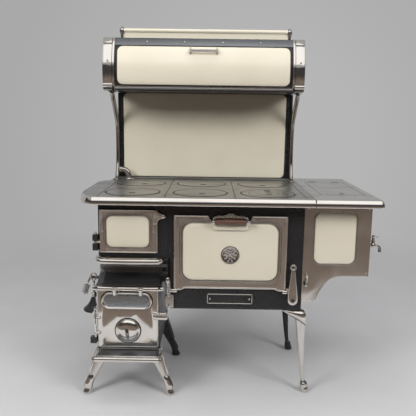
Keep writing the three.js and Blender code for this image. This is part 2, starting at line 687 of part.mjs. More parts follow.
// ---------- feed shelf with its rounded bar ----------
const shelfY = bodyFront - shelfReach;
const shelfBarZ = shelfTop - 7;
const barX0 = bodyLeft + 11;
const barX1 = ovenLeft - 38;
const shelfPath = [vec(barX0, bodyFront - 16, shelfBarZ), vec(barX0, shelfY + 38, shelfBarZ)];
const barSteps = 6;
for (let i = 0; i <= barSteps; i += 1) {
  const t = i / barSteps;
  shelfPath.push(vec(barX0 + 12 + (barX1 - barX0 - 24) * t, shelfY + shelfBarRadius + 6 - 6 * Math.sin(Math.PI * t), shelfBarZ));
}
shelfPath.push(vec(barX1, shelfY + 38, shelfBarZ), vec(barX1, bodyFront - 16, shelfBarZ));
piece('feed_shelf', join(
  bar(shelfPath, shelfBarRadius, 8),
  box(barX0, barX1, shelfY + shelfBarRadius + 6, bodyFront - gap, shelfLow, shelfTop),
), nickel());

// ---------- firebox: bricks and grate ----------
const brickThick = 32;
const brickZ0 = ashBoxTop + 14;
const brickZ1 = feedDoorBottom - 4;
const fireX0 = bodyLeft + sheet + gap;
const fireX1 = ovenLeft - gap;
const fireY0 = lowerWallFront + casting + gap;
const fireBack = fireY0 + 400;
piece('firebrick_lining', join(
  box(fireX0, fireX0 + brickThick, fireY0 + ovalReachY, fireBack, brickZ0, brickZ1),
  box(fireX1 - brickThick, fireX1, fireY0, fireBack, brickZ0, brickZ1),
  box(fireX0, fireX1, fireBack - brickThick, fireBack, brickZ0, brickZ1),
), brick());

const grateX0 = fireX0 + brickThick + 12;
const grateX1 = ashRight - sheet - 6;
const grateZ = brickZ0 + 2;
const grateY0 = fireY0 + 30;
const grateY1 = fireBack - brickThick - 34;
const grateMiddleY = (grateY0 + grateY1) / 2;
const grateBars = [
  box(grateX0, grateX0 + 10, grateY0, grateY1, grateZ - 8, grateZ + 8),
  box(grateX1 - 10, grateX1, grateY0, grateY1, grateZ - 8, grateZ + 8),
  bar([vec(fireX0 + gap, grateMiddleY, grateZ), vec(fireX1 - brickThick - gap, grateMiddleY, grateZ)], 8, 8),
];
const grateCount = 7;
for (let i = 0; i < grateCount; i += 1) {
  const y = grateY0 + ((grateY1 - grateY0 - 12) * i) / (grateCount - 1);
  grateBars.push(box(grateX0, grateX1, y, y + 12, grateZ - 8, grateZ + 8));
}
const grateCutaway = box(fireX0 - 1, fireX0 + brickThick + 1, grateMiddleY - 9, grateMiddleY + 9, grateZ - 9, grateZ + 9);
const lining = stove.children.find((m) => m.name === 'firebrick_lining');
lining.geometry = cut(lining.geometry, grateCutaway);
piece('grate', join(...grateBars), castIron());

// ---------- ash pit ----------
const ledgeLow = ashBoxTop - 8;
const noseY = ashFront - 17;
const ashDoorBack = ashFront - gap;
const ashDoorFace = ashDoorBack - 12;
const ashDoorX0 = ashLeft + 1;
const ashDoorX1 = ashRight - 2;
const ashDoorTop = ledgeLow - 6;
const ashDoorBottom = ashDoorTop - ashDoorHeight;
const ashAxisX = ashLeft - 6;
const ashAxisY = ashDoorFace - 4;
const ashLugTop = ashBottom + 56;
piece('ash_pit_box', join(
  cut(box(ashLeft, ashRight, ashFront, ashBack, ashBottom, ashBoxTop),
    box(ashLeft + sheet, ashRight - sheet, ashFront - 1, ashBack - sheet, ashBottom + sheet, ledgeLow),
    box(ashLeft + sheet, ashRight - sheet, lowerWallFront + 12, ashBack - sheet, ledgeLow - 1, ashBoxTop + 1)),
  box(ashLeft - 8, ashRight + 8, noseY + 8, lowerWallFront - 2, ledgeLow, ashBoxTop),
  bar([vec(ashLeft - 8, noseY + 7, ashBoxTop - 7), vec(ashRight + 8, noseY + 7, ashBoxTop - 7)], 7, 8),
  // fixed lower hinge lug
  box(ashAxisX - 23, ashAxisX + 4, ashAxisY - 5, ashFront + 4, ashLugTop - 26, ashLugTop),
  box(ashAxisX - 3, ashLeft + 2, ashFront + 1, ashFront + 24, ashLugTop - 26, ashLugTop),
), blackIron());

const spinX = (ashDoorX0 + ashDoorX1) / 2;
const spinZ = ashDoorBottom + 77;
const studRadius = 4;
const studLength = 15;
const draftX = spinX - 4;
const draftZ = ashDoorTop - 47;
const flapHalf = 109;
const flapRadius = 38;
const flapAxisY = ashDoorFace - 14;
const flapAxisZ = ashDoorTop + 6;
const flapLugs = [draftX - 50, draftX + 60];
const flapLug = 24;
function flapPinBoss(x0, x1) {
  return join(
    box(x0, x1, flapAxisY - 4, ashDoorFace + 2, draftZ + flapRadius + 2, ashDoorTop - gap),
    box(x0, x1, flapAxisY - 4, noseY - gap, draftZ + flapRadius + 2, flapAxisZ + 6));
}
const pinStub = { radius: 3.5, reach: 8 };
const bossWidth = 8;
const bosses = flapLugs.flatMap((x, i) => {
  const inner = i === 0 ? x + flapLug / 2 + gap : x - flapLug / 2 - gap - bossWidth;
  return [flapPinBoss(inner, inner + bossWidth)];
});
piece('ash_door', join(
  cut(box(ashDoorX0, ashDoorX1, ashDoorFace, ashDoorBack, ashDoorBottom, ashDoorTop),
    frontPlate(roundedRect(draftX - flapHalf + 16, draftX + flapHalf - 16, draftZ - 22, draftZ + 22, 21), ashDoorFace - 1,
      ashDoorBack + 1),
    turnedAlong('y', [[0, -1], [32, -1], [32, 14], [0, 14]], vec(spinX, ashDoorFace, spinZ), 16)),
  cut(box(spinX - 34, spinX + 34, ashDoorFace + 1, ashDoorBack - 1, spinZ - 9, spinZ + 9),
    turnedAlong('y', [[0, -1], [studRadius + gap, -1], [studRadius + gap, 14], [0, 14]],
      vec(spinX, ashDoorFace, spinZ), 12)),
  ...bosses,
  // hinge pin with a ball top, carried by two short arms
  bar([vec(ashAxisX, ashAxisY, ashLugTop + gap), vec(ashAxisX, ashAxisY, ashLugTop + 90),
    vec(ashAxisX, ashAxisY, ashLugTop + 125)], [4.5, 7, 4], 10),
  turned([[0, 0], [6, 3], [7, 8], [5, 13], [0, 15]], 12).translate(ashAxisX, ashAxisY, ashLugTop + 122),
  box(ashAxisX, ashDoorX0 + 6, ashAxisY - 3, ashDoorFace + 4, ashLugTop + 12, ashLugTop + 26),
  box(ashAxisX, ashDoorX0 + 6, ashAxisY - 3, ashDoorFace + 4, ashLugTop + 76, ashLugTop + 90),
  // latch tongue on the right
  box(ashDoorX1 - 8, ashDoorX1 + 38, ashDoorFace - 4, ashDoorFace + 4, ashLugTop + 80, ashLugTop + 104),
  turnedAlong('x', [[0, 0], [6, 1], [7.5, 6], [7.5, 24], [6, 28], [0, 29]],
    vec(ashDoorX1 + 6, ashDoorFace - 6, ashLugTop + 110), 12),
), nickel());

piece('draft_flap', join(
  frontPlate(roundedRect(draftX - flapHalf, draftX + flapHalf, draftZ - flapRadius, draftZ + flapRadius, flapRadius - 1),
    ashDoorFace - gap - 8, ashDoorFace - gap, 6),
  ...flapLugs.flatMap((x) => [
    box(x - flapLug / 2, x + flapLug / 2, flapAxisY - 5, ashDoorFace - gap - 4, draftZ + 20, flapAxisZ),
    turnedAlong('x', [[0, 0], [8, 0], [8, flapLug], [0, flapLug]], vec(x - flapLug / 2, flapAxisY, flapAxisZ), 12),
  ]),
), nickel());

piece('spin_draft_stud', turnedAlong('y', [[0, 0], [studRadius, 0], [studRadius, studLength],
  [0, studLength]], vec(spinX, ashDoorFace, spinZ), 12), darkSteel());

piece('spin_draft_disc', join(
  turnedAlong('-y', [[0, 0], [spinDiameter / 2, 0], [spinDiameter / 2, 3], [46, 8], [30, 13], [12, 15], [0, 15.5]],
    vec(spinX, ashDoorFace - gap, spinZ), 24),
  bar([vec(spinX - 4, ashDoorFace - 16, spinZ + 20), vec(spinX, ashDoorFace - 24, spinZ + 2),
    vec(spinX + 3, ashDoorFace - 14, spinZ - 30)], [5, 8, 4], 8),
), nickel());

piece('ash_pan', cut(
  box(ashLeft + sheet + 10, ashRight - sheet - 10, ashFront + 4, ashBack - sheet - 20, ashBottom + sheet + gap,
    ashBottom + 95),
  box(ashLeft + sheet + 13, ashRight - sheet - 13, ashFront + 7, ashBack - sheet - 23, ashBottom + sheet + 3 + gap,
    ashBottom + 96)), darkSteel());

// ---------- hearth plate and bar under the ash door ----------
const hearthLeft = ashLeft + 4;
const hearthRight = ashRight + 12;
const hearthTop = ashDoorBottom - 7;
const hearthFront = ashDoorFace - 88;
const hearthBarY = hearthFront - 6;
const hearthBarZ = hearthTop - 8;
piece('hearth_plate', join(
  box(hearthLeft, hearthRight, hearthFront, ashFront - gap, hearthTop - 6, hearthTop),
  box(hearthLeft, hearthRight, hearthFront - 2, hearthFront + 6, hearthTop - 8, hearthTop + 5),
  bar([vec(hearthLeft - 2, hearthBarY, hearthBarZ), vec(hearthRight + 6, hearthBarY, hearthBarZ)], 8.5, 10),
), nickel());

// ---------- short legs under the ash pit ----------
// Each splays outwards and forwards or back, and stands on a domed toe with a flat pad.
function shortLeg(name, { x, y, outX, outY, material }) {
  const top = legHeight;
  const section = [new THREE.Vector2(-1, -1), new THREE.Vector2(1, -1), new THREE.Vector2(1, 0.6),
    new THREE.Vector2(0.6, 1), new THREE.Vector2(-0.6, 1), new THREE.Vector2(-1, 0.6)];
  const flare = [[top, 0, 34, 22], [top - 45, 0.22, 32, 18], [top - 100, 0.5, 25, 14], [50, 0.8, 17, 12],
    [30, 0.92, 15, 14]];
  const frames = flare.map(([z, t, halfX, halfY]) => ({
    at: vec(x + outX * t, y + outY * t, z), u: vec(halfX, 0, 0), v: vec(0, halfY * Math.sign(outY), 0),
  }));
  const foot = [[34, 0.86, 15, 15], [16, 0.98, 20, 22], [6, 1, 22, 24], [0, 1, 19, 21]].map(([z, t, halfX, halfY]) => ({
    at: vec(x + outX * t, y + outY * t, z), u: vec(halfX, 0, 0), v: vec(0, halfY, 0),
  }));
  piece(name, join(sweep(section, frames), sweep(ringPoints(1, 12), foot)), material);
}
const legInset = 24;
const legs = [
  ['ash_leg_front_left', ashLeft + legInset, ashFront + 26, -74, -31, nickel()],
  ['ash_leg_front_right', ashRight - legInset, ashFront + 26, 74, -31, nickel()],
  ['ash_leg_rear_left', ashLeft + legInset, ashBack - 90, -74, 26, blackIron()],
  ['ash_leg_rear_right', ashRight - legInset, ashBack - 90, 74, 26, blackIron()],
];
legs.forEach(([name, x, y, outX, outY, material]) => shortLeg(name, { x, y, outX, outY, material }));

// ---------- tall legs under the oven ----------
function tallLeg(name, { cornerX, y, wing, direction, material }) {
  const top = ovenBottom - gap;
  const knee = top - 68;
  const shaft = [[knee + 6, 318, 22, 15], [200, 325, 16, 12], [64, 334, 10, 9], [40, 339, 11, 10]];
  const frames = shaft.map(([z, x, halfX, halfY]) => ({
    at: vec(cornerX - bodyRightAtDesign + x, y, z), u: vec(halfX, 0, 0), v: vec(0, halfY, 0),
  }));
  const foot = [[44, 339, 9, 9], [30, 343, 15, 16], [14, 347, 19, 21], [6, 348, 19, 21], [0, 348, 17, 19]]
    .map(([z, x, halfX, halfY]) => ({
      at: vec(cornerX - bodyRightAtDesign + x, y + direction * 4, z), u: vec(halfX, 0, 0), v: vec(0, halfY, 0),
    }));
  const kneeX = cornerX - bodyRightAtDesign;
  const bracket = polygon([cornerX - wing, top], [cornerX - wing + 4, top - 8], [kneeX + 270, top - 46],
    [kneeX + 296, knee], [kneeX + 338, knee], [cornerX + 20, top - 40], [cornerX + 8, top - 10], [cornerX - 2, top]);
  piece(name, join(
    frontPlate(bracket, y - 15, y + 15),
    sweep(ringPoints(1, 10), frames),
    sweep(ringPoints(1, 12), foot),
  ), material);
}
const bodyRightAtDesign = 313;
tallLeg('oven_leg_front', { cornerX: bodyRight, y: bodyFront + 16, wing: 95, direction: -1, material: nickel() });
tallLeg('oven_leg_rear', { cornerX: bodyRight - 12, y: bodyBack - 110, wing: 60, direction: 1, material: blackIron() });

// ---------- water reservoir ----------
const wingFrontLow = topHeight - topThickness - wingHeight;
const wingApronLow = ovenBottom + 35;
const reservoirShape = new THREE.Shape();
reservoirShape.moveTo(bodyRight + gap, bodyTop);
reservoirShape.lineTo(bodyRight + gap, wingApronLow);
reservoirShape.lineTo(bodyRight + 48, wingApronLow);
reservoirShape.lineTo(bodyRight + 50, wingApronLow + 12);
reservoirShape.lineTo(bodyRight + 61, wingApronLow + 12);
reservoirShape.bezierCurveTo(bodyRight + 72, wingApronLow + 75, bodyRight + 110, wingFrontLow + 2,
  bodyRight + 170, wingFrontLow);
reservoirShape.lineTo(wingRight, wingFrontLow);
reservoirShape.lineTo(wingRight, bodyTop);
piece('reservoir_front', frontPlate(reservoirShape, bodyFront, panelBack, 8), nickel());
piece('reservoir_panel', frontPlate(roundedRect(bodyRight + 43, bodyRight + 227, wingFrontLow + 57, wingFrontLow + 272, 30),
  bodyFront - gap - panelProud, bodyFront - gap), cream());
piece('reservoir_tank', cut(
  box(bodyRight + gap, wingRight, wallStart, bodyBack - 18, wingFrontLow, bodyTop),
  box(bodyRight + gap + sheet, wingRight - sheet, wallStart + sheet, bodyBack - 18 - sheet, wingFrontLow + sheet, bodyTop + 1),
), blackIron());

// ---------- tap on the reservoir's right side ----------
const tapY = bodyFront + 36;
const tapZ = wingFrontLow + 128;
const tapWall = wingRight + gap;
piece('tap_body', join(
  turnedAlong('x', [[0, 0], [13, 0], [13, 4], [7, 6], [7, 30], [0, 30]], vec(tapWall, tapY, tapZ), 12),
  bar([vec(tapWall + 6, tapY, tapZ), vec(tapWall + 34, tapY, tapZ + 1), vec(tapWall + 45, tapY, tapZ - 4),
    vec(tapWall + 51, tapY, tapZ - 16), vec(tapWall + 52, tapY, tapZ - 28)], [6, 6, 6, 6.5, 6.5], 10),
  turned([[0, -4], [13, -4], [13, 4], [7, 18], [6, 30], [0, 30]], 12).translate(tapWall + 20, tapY, tapZ),
), nickel());
piece('tap_handle', join(
  turned([[0, 30 + gap], [6, 30 + gap], [8, 38], [6, 46], [0, 49]], 12).translate(tapWall + 20, tapY, tapZ),
  bar([vec(tapWall + 3, tapY, tapZ + 39), vec(tapWall + 38, tapY, tapZ + 39)], [3.2, 3.2], 8),
), nickel());

// ---------- small damper lever on the reservoir joint ----------
const smallX = bodyRight + 16;
const smallZ = damperZ + 67;
piece('reservoir_damper', join(
  turnedAlong('-y', [[0, 0], [9, 0], [9, 9], [0, 9]], vec(smallX, bodyFront - gap, smallZ), 12),
  box(smallX - 5, smallX + 9, bodyFront - 16, bodyFront - 8, smallZ - 8, smallZ + 38),
), nickel());

// ---------- left side: air hood, draft rod and shaker lever ----------
const hoodTop = ashBoxTop - 64;
const hoodProfile = [[0, hoodTop - 58], [50, hoodTop - 58], [50, hoodTop - 50], [32, hoodTop - 40], [20, hoodTop - 22],
  [13, hoodTop], [0, hoodTop]];
piece('side_air_hood', cut(
  turned(hoodProfile, 20).translate(rodX + 4, rodY, 0),
  box(ashLeft - gap, ashLeft + 90, rodY - 90, rodY + 90, hoodTop - 90, hoodTop + 9)), blackIron());
piece('draft_rod', join(
  turned([[0, hoodTop + gap], [11, hoodTop + gap], [12, hoodTop + 8], [11, hoodTop + 18], [5, hoodTop + 20],
    [5, hoodTop + 76], [0, hoodTop + 76]], 12).translate(rodX, rodY, 0),
  bar([...Array(13).keys()].map((i) => {
    const angle = -Math.PI / 2 + 0.25 + ((2 * Math.PI - 0.5) * i) / 12;
    return vec(rodX + 11.5 * Math.cos(angle), rodY, hoodTop + 89 + 15.5 * Math.sin(angle));
  }), 3, 6),
  box(rodX - 5, rodX + 5, rodY - 3, rodY + 3, hoodTop + 70, hoodTop + 76),
), nickel());

const armX = rodX - 26;
const gripFrom = vec(armX - 4, rodY - 14, ashBoxTop - 2);
const gripTo = vec(armX - 17, rodY - 20, ashBoxTop - 46);
piece('shaker_lever', join(
  turnedAlong('x', [[0, 0], [7, 0], [7, shaftBearingX - armX + 3 - gap], [0, shaftBearingX - armX + 3 - gap]],
    vec(armX - 3, shakerY, shakerZ), 10),
  bar([vec(armX, shakerY, shakerZ), vec(armX - 1, rodY + 8, shakerZ - 2), gripFrom.clone(), gripTo.clone()], [4.5, 5, 5.6, 5.6], 10),
), nickel());
const gripWay = gripTo.clone().sub(gripFrom);
piece('shaker_coil_grip', coil('shaker_coil_grip', {
  from: gripFrom.clone().addScaledVector(gripWay, 0.06), axis: gripWay, side: vec(1, 0, 0),
  mean: 7.6, wire: coilWire, turns: coilTurns, length: gripWay.length() * 0.86,
}), nickel());

// ---------- backsplash ----------
piece('backsplash_frame', box(splashLeft, splashLeft + splashWidth, splashFront, splashFront + 12, topHeight + gap, splashTop),
  blackIron());
piece('backsplash_panel', frontPlate(
  roundedRect(splashLeft + 21, splashLeft + splashWidth - 16, topHeight + 12, splashTop - 6, 24),
  splashFront - gap - panelProud, splashFront - gap), cream());

// nickel quarter bend at the lower left of the backsplash
const bendX = splashLeft + 52;
const bendY = splashFront - 42;
const bendRadius = 36;
const bendPoints = [vec(bendX, bendY, topHeight + 8)];
for (let i = 0; i <= 6; i += 1) {
  const angle = (Math.PI / 2) * (i / 6);
  bendPoints.push(vec(bendX - bendRadius + bendRadius * Math.cos(angle), bendY, topHeight + 16 + bendRadius * Math.sin(angle)));
}
bendPoints.push(vec(bendX - bendRadius - 8, bendY, topHeight + 16 + bendRadius));
piece('elbow_pipe', join(
  turned([[0, topHeight + gap], [25, topHeight + gap], [25, topHeight + 4], [17, topHeight + 11], [0, topHeight + 11]], 14)
    .translate(bendX, bendY, 0),
  bar(bendPoints, 14.5, 12),
), nickel());

// ---------- S-shaped cabinet brackets ----------
function bracket(name, x) {
  const path = new THREE.CatmullRomCurve3([
    vec(x, splashFront - 53, topHeight + gap), vec(x, splashFront - 22, topHeight + 90),
    vec(x, splashFront - 18, topHeight + 185), vec(x, splashFront - 28, topHeight + 280),
    vec(x, splashFront - 82, topHeight + 350), vec(x, splashFront - 150, topHeight + 408),
    vec(x, splashFront - 164, splashTop),
  ]);
  const points = path.getPoints(16);
  const section = [new THREE.Vector2(-7, -8), new THREE.Vector2(7, -8), new THREE.Vector2(7, 5),
    new THREE.Vector2(4, 8), new THREE.Vector2(-4, 8), new THREE.Vector2(-7, 5)];
  const frames = points.map((at, k) => {
    const before = points[Math.max(k - 1, 0)];
    const after = points[Math.min(k + 1, points.length - 1)];
    const along = after.clone().sub(before).normalize();
    if (k === 0 || k === points.length - 1) along.set(0, 0, 1);
    return { at, u: vec(1, 0, 0), v: along.clone().cross(vec(1, 0, 0)).negate() };
  });
  piece(name, join(
    sweep(section, frames),
    box(x - 14, x + 14, splashFront - 75, splashFront - 36, topHeight + gap, topHeight + 6),
    box(x - 14, x + 14, splashFront - 190, splashFront - 135, splashTop - 5, splashTop),
  ), nickel());
}
bracket('bracket_left', splashLeft - 8);
bracket('bracket_right', splashLeft + splashWidth + 8);

// ---------- warming cabinet ----------
const cabinetMiddleZ = cabinetBottom + 0.36 * cabinetHeight;
const curveHalf = cabinetTop - cabinetMiddleZ;
const stations = [...Array(9).keys()].map((i) => cabinetBottom + (cabinetHeight * i) / 8);
// front surface of the cabinet at a height, moved outwards by a reach; straight between stations
function cabinetFace(z, reach) {
  const curve = (height) => cabinetFront - 18 + cabinetBulge * ((height - cabinetMiddleZ) / curveHalf) ** 2;
  const k = Math.min(Math.max(Math.floor((8 * (z - cabinetBottom)) / cabinetHeight), 0), 7);
  const t = (z - stations[k]) / (stations[k + 1] - stations[k]);
  return curve(stations[k]) * (1 - t) + curve(stations[k + 1]) * t - reach;
}
function heightsBetween(z0, z1) {
  return [z0, ...stations.filter((z) => z > z0 + 1 && z < z1 - 1), z1];
}
function cabinetStrip(x0, x1, z0, z1, inner, outer) {
  const front = heightsBetween(z0, z1).map((z) => [cabinetFace(z, outer), z]);
  const back = heightsBetween(z0, z1).map((z) => [cabinetFace(z, inner), z]).reverse();
  return sidePlate(polygon(...back, ...front), x0, x1);
}
function cabinetBlock(x0, x1, inset) {
  const front = heightsBetween(cabinetBottom + inset, cabinetTop - inset).map((z) => [cabinetFace(z, -inset), z]);
  return sidePlate(polygon([cabinetBack - inset, cabinetTop - inset], [cabinetBack - inset, cabinetBottom + inset], ...front),
    x0, x1);
}
const doorX0 = cabinetLeft + bandWidth + 18;
const doorX1 = cabinetRight - bandWidth - 18;
const warmZ0 = cabinetBottom + 28;
const warmZ1 = cabinetTop - 41;
const galleryStep = 0.5;
piece('cabinet_shell', cut(
  cabinetBlock(cabinetLeft, cabinetRight, 0),
  cabinetBlock(cabinetLeft + sheet, cabinetRight - sheet, sheet),
  box(doorX0 + 12, doorX1 - 12, cabinetFront - 90, cabinetFront + 60, warmZ0 + 12, warmZ1 - 12),
  // shallow step that seats the gallery behind the flat shelf
  box(cabinetLeft - 1, cabinetRight + 1, cabinetBack - 32, cabinetBack + 1, cabinetTop - galleryStep, cabinetTop + 1),
), blackIron());
const bandThick = 5;
[['end_band_left', cabinetLeft, cabinetLeft + bandWidth], ['end_band_right', cabinetRight - bandWidth, cabinetRight]]
  .forEach(([name, x0, x1]) => {
    piece(name, cabinetStrip(x0, x1, cabinetBottom, cabinetTop, gap, gap + bandThick), nickel());
  });

const warmPivotY = cabinetFace(warmZ0, 9);
const warmPivotZ = warmZ0 - 2;
piece('warming_door', cabinetStrip(doorX0, doorX1, warmZ0, warmZ1, gap, gap + 7), cream());
const bailZ = warmZ1 - 19;
const bailX = (doorX0 + doorX1) / 2;
const bailHalf = 58;
const bailY = Math.min(...[-5, 5].map((dz) => cabinetFace(bailZ + dz, gap + 7 + gap)));
piece('warming_handle', join(
  ...[-1, 1].map((s) => turnedAlong('-y', [[0, 0], [5, 0], [5, 22], [0, 22]],
    vec(bailX + s * bailHalf, bailY, bailZ), 10)),
  bar([vec(bailX - bailHalf - 4, bailY - 19, bailZ), vec(bailX, bailY - 22, bailZ), vec(bailX + bailHalf + 4, bailY - 19, bailZ)],
    5, 8),
), nickel());

// ---------- gallery on the cabinet ----------
const galleryY = cabinetBack - 14;
const galleryX0 = cabinetLeft + 42;
const galleryX1 = cabinetRight - 33;
const railZ = cabinetTop + galleryHeight;
const galleryFoot = cabinetTop - galleryStep + gap;
piece('gallery_back', join(
  box(galleryX0 + 4, galleryX1 - 4, galleryY - 2, galleryY + 2, galleryFoot, railZ),
  bar([vec(galleryX0 + 4, galleryY, railZ), vec(galleryX1 - 4, galleryY, railZ)], 10, 10),
  ...[galleryX0, galleryX1].map((x) => turned([[0, galleryFoot], [9, galleryFoot], [7, railZ - 18],
    [12, railZ - 6], [13, railZ + 6], [9, railZ + 14], [0, railZ + 18]], 12).translate(x, galleryY, 0)),
), cream());

// ---------- flue collar ----------
piece('flue_collar', cut(
  flatPlate(ovalShape(collarRadiusX, collarRadiusY), topHeight + gap, topHeight + 40, 16),
  flatPlate(ovalShape(collarRadiusX - 6, collarRadiusY - 6), topHeight - 1, topHeight + 41, 16)), castIron());

// The origin goes under the middle of the bounding box.
const bounds = new THREE.Box3().setFromObject(stove);
stove.position.set(-(bounds.min.x + bounds.max.x) / 2, -(bounds.min.y + bounds.max.y) / 2, 0);
console.log(`shift ${stove.position.x.toFixed(3)} ${stove.position.y.toFixed(3)}`);

export default group;
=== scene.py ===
"""Looks of the wood cookstove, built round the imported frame. Lengths are millimetres until P()."""
import math

import bmesh
import bpy
from mathutils import Matrix, Vector

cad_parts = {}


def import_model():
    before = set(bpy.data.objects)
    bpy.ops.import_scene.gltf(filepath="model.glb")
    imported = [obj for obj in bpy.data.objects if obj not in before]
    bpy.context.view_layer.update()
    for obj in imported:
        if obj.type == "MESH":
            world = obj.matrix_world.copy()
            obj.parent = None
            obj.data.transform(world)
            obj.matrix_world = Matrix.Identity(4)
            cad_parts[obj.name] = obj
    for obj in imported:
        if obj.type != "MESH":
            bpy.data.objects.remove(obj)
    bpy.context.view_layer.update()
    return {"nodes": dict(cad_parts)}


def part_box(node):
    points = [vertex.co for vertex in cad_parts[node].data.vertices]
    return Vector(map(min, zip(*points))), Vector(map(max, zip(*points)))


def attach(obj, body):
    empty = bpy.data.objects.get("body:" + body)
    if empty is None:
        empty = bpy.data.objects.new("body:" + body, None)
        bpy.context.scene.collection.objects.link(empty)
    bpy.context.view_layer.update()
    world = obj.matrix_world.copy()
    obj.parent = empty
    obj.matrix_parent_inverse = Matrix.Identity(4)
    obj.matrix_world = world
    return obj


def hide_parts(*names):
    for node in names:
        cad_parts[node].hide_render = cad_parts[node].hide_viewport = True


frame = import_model()

panel_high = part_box("front_panel")[1]
SHIFT_X = panel_high[0] * 1000 - 313.0
SHIFT_Y = panel_high[1] * 1000 + 262.0
PI = math.pi
TO_RIGHT, TO_FRONT, TO_BACK, TO_TOP = (1, 0, 0), (0, -1, 0), (0, 1, 0), (0, 0, 1)


def P(x, y, z):
    return Vector(((x + SHIFT_X) / 1000, (y + SHIFT_Y) / 1000, z / 1000))


# ---------- materials ----------
def node_material(name):
    m = bpy.data.materials.new(name)
    m.use_nodes = True
    nt = m.node_tree
    return m, nt, nt.nodes["Principled BSDF"]


def noise(nt, scale, detail=3.0, stretch=(1, 1, 1), rough=0.5):
    co = nt.nodes.new("ShaderNodeTexCoord")
    mp = nt.nodes.new("ShaderNodeMapping")
    mp.inputs["Scale"].default_value = stretch
    n = nt.nodes.new("ShaderNodeTexNoise")
    n.inputs["Scale"].default_value = scale
    n.inputs["Detail"].default_value = detail
    n.inputs["Roughness"].default_value = rough
    nt.links.new(co.outputs["Object"], mp.inputs["Vector"])
    nt.links.new(mp.outputs["Vector"], n.inputs["Vector"])
    return n.outputs["Fac"]


def ramp(nt, fac, stops):
    r = nt.nodes.new("ShaderNodeValToRGB")
    e = r.color_ramp.elements
    while len(e) < len(stops):
        e.new(0.5)
    for k, (pos, col) in enumerate(stops):
        e[k].position = pos
        e[k].color = col if len(col) == 4 else (*col, 1)
    nt.links.new(fac, r.inputs["Fac"])
    return r.outputs["Color"]


def spread(nt, fac, low, high):
    r = nt.nodes.new("ShaderNodeMapRange")
    r.inputs["From Min"].default_value = 0.3
    r.inputs["From Max"].default_value = 0.7
    r.inputs["To Min"].default_value = low
    r.inputs["To Max"].default_value = high
    nt.links.new(fac, r.inputs["Value"])
    return r.outputs["Result"]


def bump(nt, bsdf, fac, strength, distance):
    b = nt.nodes.new("ShaderNodeBump")
    b.inputs["Strength"].default_value = strength
    b.inputs["Distance"].default_value = distance
    nt.links.new(fac, b.inputs["Height"])
    nt.links.new(b.outputs["Normal"], bsdf.inputs["Normal"])


def surface(name, colors, rough, metallic=0.0, color_noise=(9, 4), rough_noise=(22, 4), bumps=None, stretch=(1, 1, 1),
        coat=0.0, spec=0.5):
    m, nt, b = node_material(name)
    n = len(colors)
    c = noise(nt, color_noise[0], color_noise[1], stretch)
    stops = [(0.3 + 0.4 * k / max(n - 1, 1), col) for k, col in enumerate(colors)]
    nt.links.new(ramp(nt, c, stops), b.inputs["Base Color"])
    r = noise(nt, rough_noise[0], rough_noise[1], stretch, 0.6)
    nt.links.new(spread(nt, r, rough[0], rough[1]), b.inputs["Roughness"])
    b.inputs["Metallic"].default_value = metallic
    b.inputs["Specular IOR Level"].default_value = spec
    if coat:
        b.inputs["Coat Weight"].default_value = coat
        b.inputs["Coat Roughness"].default_value = 0.04
    if bumps:
        scale, strength, distance = bumps
        bump(nt, b, noise(nt, scale, 2.0, stretch), strength, distance)
    return m


NICKEL = surface("nickel", [(0.74, 0.70, 0.655), (0.82, 0.785, 0.74), (0.78, 0.745, 0.70)], (0.05, 0.13), 1.0, (7, 4),
    (18, 5), (5.0, 0.10, 0.004))
SATIN_NICKEL = surface("satin_nickel", [(0.68, 0.65, 0.61), (0.76, 0.73, 0.69)], (0.16, 0.28), 1.0, (9, 4), (30, 5),
    (40, 0.05, 0.001))
STEEL_STRIP = surface("steel_strip", [(0.36, 0.38, 0.41), (0.46, 0.48, 0.51)], (0.22, 0.34), 1.0, (6, 4), (16, 5),
    (60, 0.05, 0.0006), stretch=(0.2, 1, 1))
CABINET_STRIP = surface("cabinet_strip", [(0.24, 0.25, 0.265), (0.33, 0.34, 0.355)], (0.20, 0.30), 1.0, (6, 4),
    (16, 5), (60, 0.06, 0.0006), stretch=(0.2, 1, 1))
# A darker, warmer copy of the nickel: painted brown reflection and shade, on the reservoir face, damper lever, tap,
# elbow, bail ears and gallery posts.
REFLECTION_PAINTED_NICKEL = surface("nickel_with_painted_brown_reflection", [(0.60, 0.56, 0.52), (0.71, 0.67, 0.625), (0.65, 0.61, 0.565)], (0.10, 0.20),
    1.0, (5, 5), (13, 5), (6.0, 0.14, 0.004))
BLACK = surface("black_enamel", [(0.016, 0.016, 0.017), (0.026, 0.026, 0.027)], (0.22, 0.36), 0.0, (6, 4), (14, 4),
    (95, 0.10, 0.0006), coat=0.10, spec=0.4)
BLACK_GLOSS = surface("black_glazed_casting", [(0.018, 0.018, 0.019), (0.030, 0.029, 0.029)], (0.10, 0.20), 0.0,
    (7, 5), (20, 4), (70, 0.10, 0.0006), coat=0.7, spec=0.6)
BLACK_CAST = surface("black_casting", [(0.016, 0.016, 0.017), (0.030, 0.029, 0.029)], (0.24, 0.40), 0.0, (8, 5),
    (25, 4), (240, 0.18, 0.0006), spec=0.4)
CREAM = surface("cream_enamel", [(0.685, 0.628, 0.508), (0.725, 0.674, 0.553)], (0.10, 0.19), 0.0, (5, 3), (9, 3),
    (16, 0.05, 0.0012), coat=0.6)
TOP_IRON = surface("polished_iron", [(0.255, 0.25, 0.235), (0.40, 0.395, 0.375), (0.315, 0.31, 0.29)], (0.26, 0.42),
    0.85, (9, 6), (26, 6), (130, 0.10, 0.0004), stretch=(0.35, 1, 1))
WING_IRON = surface("brushed_wing_iron", [(0.45, 0.445, 0.43), (0.57, 0.565, 0.55), (0.51, 0.505, 0.485)],
    (0.26, 0.42), 0.85, (11, 6), (26, 6), (130, 0.10, 0.0004), stretch=(0.35, 1, 1))
